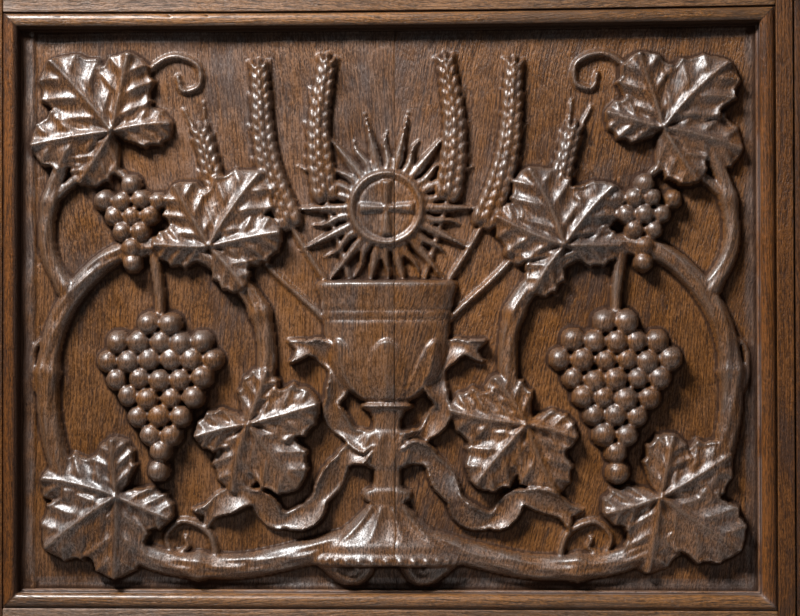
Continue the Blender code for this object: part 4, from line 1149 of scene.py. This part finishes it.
def whittled_peg(node, seed):
    """Draw-bore peg: faceted by the knife, with domed ends just proud of the post."""
    low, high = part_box(node)
    mid = (low + high) / 2
    radius = (high.x - low.x) / 2
    chance = np.random.default_rng(seed)
    sides = 9
    out = radius * chance.uniform(0.93, 1.03, sides)
    angles = np.linspace(0, 2 * np.pi, sides, endpoint=False) + chance.uniform(0, 1)
    half = (high.y - low.y) / 2
    dome = [(0.0012, 0.30), (0.0010, 0.72), (0.0004, 0.95), (-0.001, 1.0)]
    profile = [(-half - proud, share) for proud, share in dome]
    profile += [(half + proud, share) for proud, share in dome[::-1]]

    def place(s, k):
        along, share = profile[s]
        size = share * out[k]
        return mid.x + size * math.cos(angles[k]), mid.y + along, mid.z + size * math.sin(angles[k])

    points, faces = sweep(range(sides), len(profile), place)
    wear_and_shade = np.repeat([0.2, 0.5, 0.9, -0.8, -0.8, 0.9, 0.5, 0.2], sides)
    marks = {"wear_and_shade": wear_and_shade, "dust": np.zeros(len(wear_and_shade))}
    add_piece(node + "_whittled", points, faces, "joinery_oak", "peg", [node], marks, 25.0)


for number, node in enumerate(sorted(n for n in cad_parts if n.endswith("_peg"))):
    whittled_peg(node, 81 + number)


# Base and cap
SOLE_ROUND = 0.010
CAP_UNDER_ROUND = 0.006
CAP_OVER_ROUND = 0.012
SKIRTING_THICK = 0.018
sole_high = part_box("sole")[1]
edge = [(0.0015, 0.0), (0.0004, 0.0004), (0.0, 0.0015)]
for x, z in rounded_arc((0, 0), SOLE_ROUND, 0, 90, 12):
    edge.append((SOLE_ROUND - x, sole_high.z - SOLE_ROUND + z))
worked_slab("sole_shaped", "frame_oak", sole_high.x, sole_high.y, edge, 0.003, ["sole"])
cap_low, cap_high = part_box("cap")
edge = []
for x, z in rounded_arc((0, 0), CAP_UNDER_ROUND, -90, 0, 8):
    edge.append((CAP_UNDER_ROUND - x, cap_low.z + CAP_UNDER_ROUND + z))
for x, z in rounded_arc((0, 0), CAP_OVER_ROUND, 0, 90, 14):
    edge.append((CAP_OVER_ROUND - x, cap_high.z - CAP_OVER_ROUND + z))
worked_slab("cap_shaped", "frame_oak", cap_high.x, cap_high.y, edge, 0.004, ["cap"])

POST_HALVES = (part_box("right_post")[1].x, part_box("right_post")[1].y)
ROUND_POSTS = ("back", "front", "right", "left")
floor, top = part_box("front_skirting")[0].z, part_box("front_skirting")[1].z
corners = [(FIT, floor), (SKIRTING_THICK, floor), (SKIRTING_THICK, top), (FIT, top)]
skirting = with_midpoints(eased_outline(corners, [0.0, 0.0008, 0.0030, 0.0], 6), 0.02)
mitred_frame("skirting", "frame_oak", skirting, POST_HALVES, ROUND_POSTS, level, "xy", 91, 0.05)
floor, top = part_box("front_base_moulding")[0].z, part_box("front_base_moulding")[1].z
torus, fillet = 0.0048, 0.0025
foot = SKIRTING_THICK - torus
hollow = top - floor - 2 * torus - fillet
base = [(FIT, floor), (foot, floor)] + rounded_arc((foot, floor + torus), torus, -84, 90, 14)
base += rounded_arc((foot, floor + 2 * torus + hollow), hollow, 266, 184, 12)
base += [(foot - hollow, top - 0.0005), (foot - hollow - 0.0005, top), (FIT, top)]
mitred_frame("base_moulding", "moulding_oak", base, POST_HALVES, ROUND_POSTS, level, "xy", 101)
floor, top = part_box("front_bed_moulding")[0].z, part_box("front_bed_moulding")[1].z
neck, swing, fillet = 0.004, 0.024, 0.003
wave = top - floor - 0.008
bed = [(FIT, floor), (neck - 0.0004, floor), (neck, floor + 0.0004), (neck, floor + fillet)]
for t in np.linspace(0.04, 1, 25):
    bend = t - math.sin(2 * math.pi * t) / (2 * math.pi)
    bed.append((neck + swing * bend, floor + fillet + wave * t))
bed += [(neck + swing, top - 0.0006), (neck + swing - 0.0006, top), (FIT, top)]
mitred_frame("bed_moulding", "moulding_oak", bed, POST_HALVES, ROUND_POSTS, level, "xy", 111)

# Joinery that stays as the CAD has it
kept = {"panel_tongue": "z", "left_cap_dowel": "z", "right_cap_dowel": "z"}
for row in ("front", "back"):
    kept.update({row + "_left_glue_block": "x", row + "_right_glue_block": "x"})
for node, along in kept.items():
    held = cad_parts[node]
    held.data.materials.clear()
    held.data.materials.append(OAK["joinery_oak"][along])


# Floor, light and camera
def plain_floor():
    """Pale plaster floor with a faint unevenness."""
    size, steps = 3.2, 24
    spots = np.linspace(-size, size, steps + 1)
    points = [(x, y, 0.0) for y in spots for x in spots]
    row = steps + 1
    corners = [r * row + c for r in range(steps) for c in range(steps)]
    mesh = bpy.data.meshes.new("plain_floor")
    mesh.from_pydata(points, [], [(k, k + 1, k + row + 1, k + row) for k in corners])
    material = bpy.data.materials.new("pale_plaster")
    material.use_nodes = True
    tree = Tree(material.node_tree)
    shader = material.node_tree.nodes["Principled BSDF"]
    place = tree.put("ShaderNodeTexCoord").outputs["Object"]
    cloud = tree.noise(place, (2.0, 2.0, 2.0), 4.0)
    plaster = tree.mix(cloud, (0.42, 0.415, 0.405, 1.0), (0.46, 0.455, 0.445, 1.0))
    path = tree.put("ShaderNodeLightPath").outputs
    mirrored = tree.reckon("MAXIMUM", path["Is Glossy Ray"], path["Is Transmission Ray"])
    shown = tree.reckon("MAXIMUM", path["Is Camera Ray"], mirrored)
    tree.feed(shader.inputs["Base Color"], tree.mix(shown, (0.06, 0.058, 0.055, 1.0), plaster))
    shader.inputs["Roughness"].default_value = 0.8
    mesh.materials.append(material)
    floor = bpy.data.objects.new("plain_floor", mesh)
    bpy.context.scene.collection.objects.link(floor)


def soft_lamp(name, place, aim, width, height, power, spread):
    """Soft lamp with a grid that keeps its light on the rail."""
    lamp = bpy.data.lights.new(name, "AREA")
    lamp.shape = "ELLIPSE"
    lamp.size = width
    lamp.size_y = height
    lamp.energy = power
    lamp.spread = math.radians(spread)
    holder = bpy.data.objects.new(name, lamp)
    holder.location = place
    holder.rotation_euler = (Vector(aim) - Vector(place)).to_track_quat("-Z", "Y").to_euler()
    bpy.context.scene.collection.objects.link(holder)


plain_floor()
soft_lamp("key_lamp", place=(-0.77, -1.00, 1.72), aim=(-0.03, -0.03, 0.47),
          width=0.78, height=0.36, power=11.6, spread=76.0)
soft_lamp("back_lamp", place=(0.9, 2.3, 1.7), aim=(0.0, 0.0, 0.4),
          width=1.6, height=1.6, power=40.0, spread=150.0)
soft_lamp("side_lamp", place=(2.4, 0.7, 1.3), aim=(0.47, 0.0, 0.4),
          width=1.2, height=1.2, power=19.0, spread=150.0)
world = bpy.data.worlds.new("studio")
bpy.context.scene.world = world
world.use_nodes = True
air = world.node_tree.nodes["Background"].inputs
air["Color"].default_value = (1.0, 0.99, 0.98, 1.0)
air["Strength"].default_value = 0.068

CAMERA_PLACE = (0.0716, -1.5375, 0.4160)
YAW, PITCH, ROLL = math.radians(-2.300), math.radians(0.738), math.radians(-0.127)
LENS_LENGTH, SENSOR_WIDTH = 81.29, 36.0
forward = Vector((math.sin(YAW) * math.cos(PITCH), math.cos(YAW) * math.cos(PITCH), math.sin(PITCH)))
right = forward.cross(Vector((0, 0, 1))).normalized()
up = right.cross(forward)
right, up = right * math.cos(ROLL) + up * math.sin(ROLL), up * math.cos(ROLL) - right * math.sin(ROLL)
lens = bpy.data.cameras.new("front_view")
lens.sensor_fit = "HORIZONTAL"
lens.sensor_width = SENSOR_WIDTH
lens.lens = LENS_LENGTH
camera = bpy.data.objects.new("front_view", lens)
turn = Matrix((right, up, -forward)).transposed().to_4x4()
camera.matrix_world = Matrix.Translation(CAMERA_PLACE) @ turn
bpy.context.scene.collection.objects.link(camera)
bpy.context.scene.camera = camera
bpy.context.scene.view_settings.view_transform = "Standard"
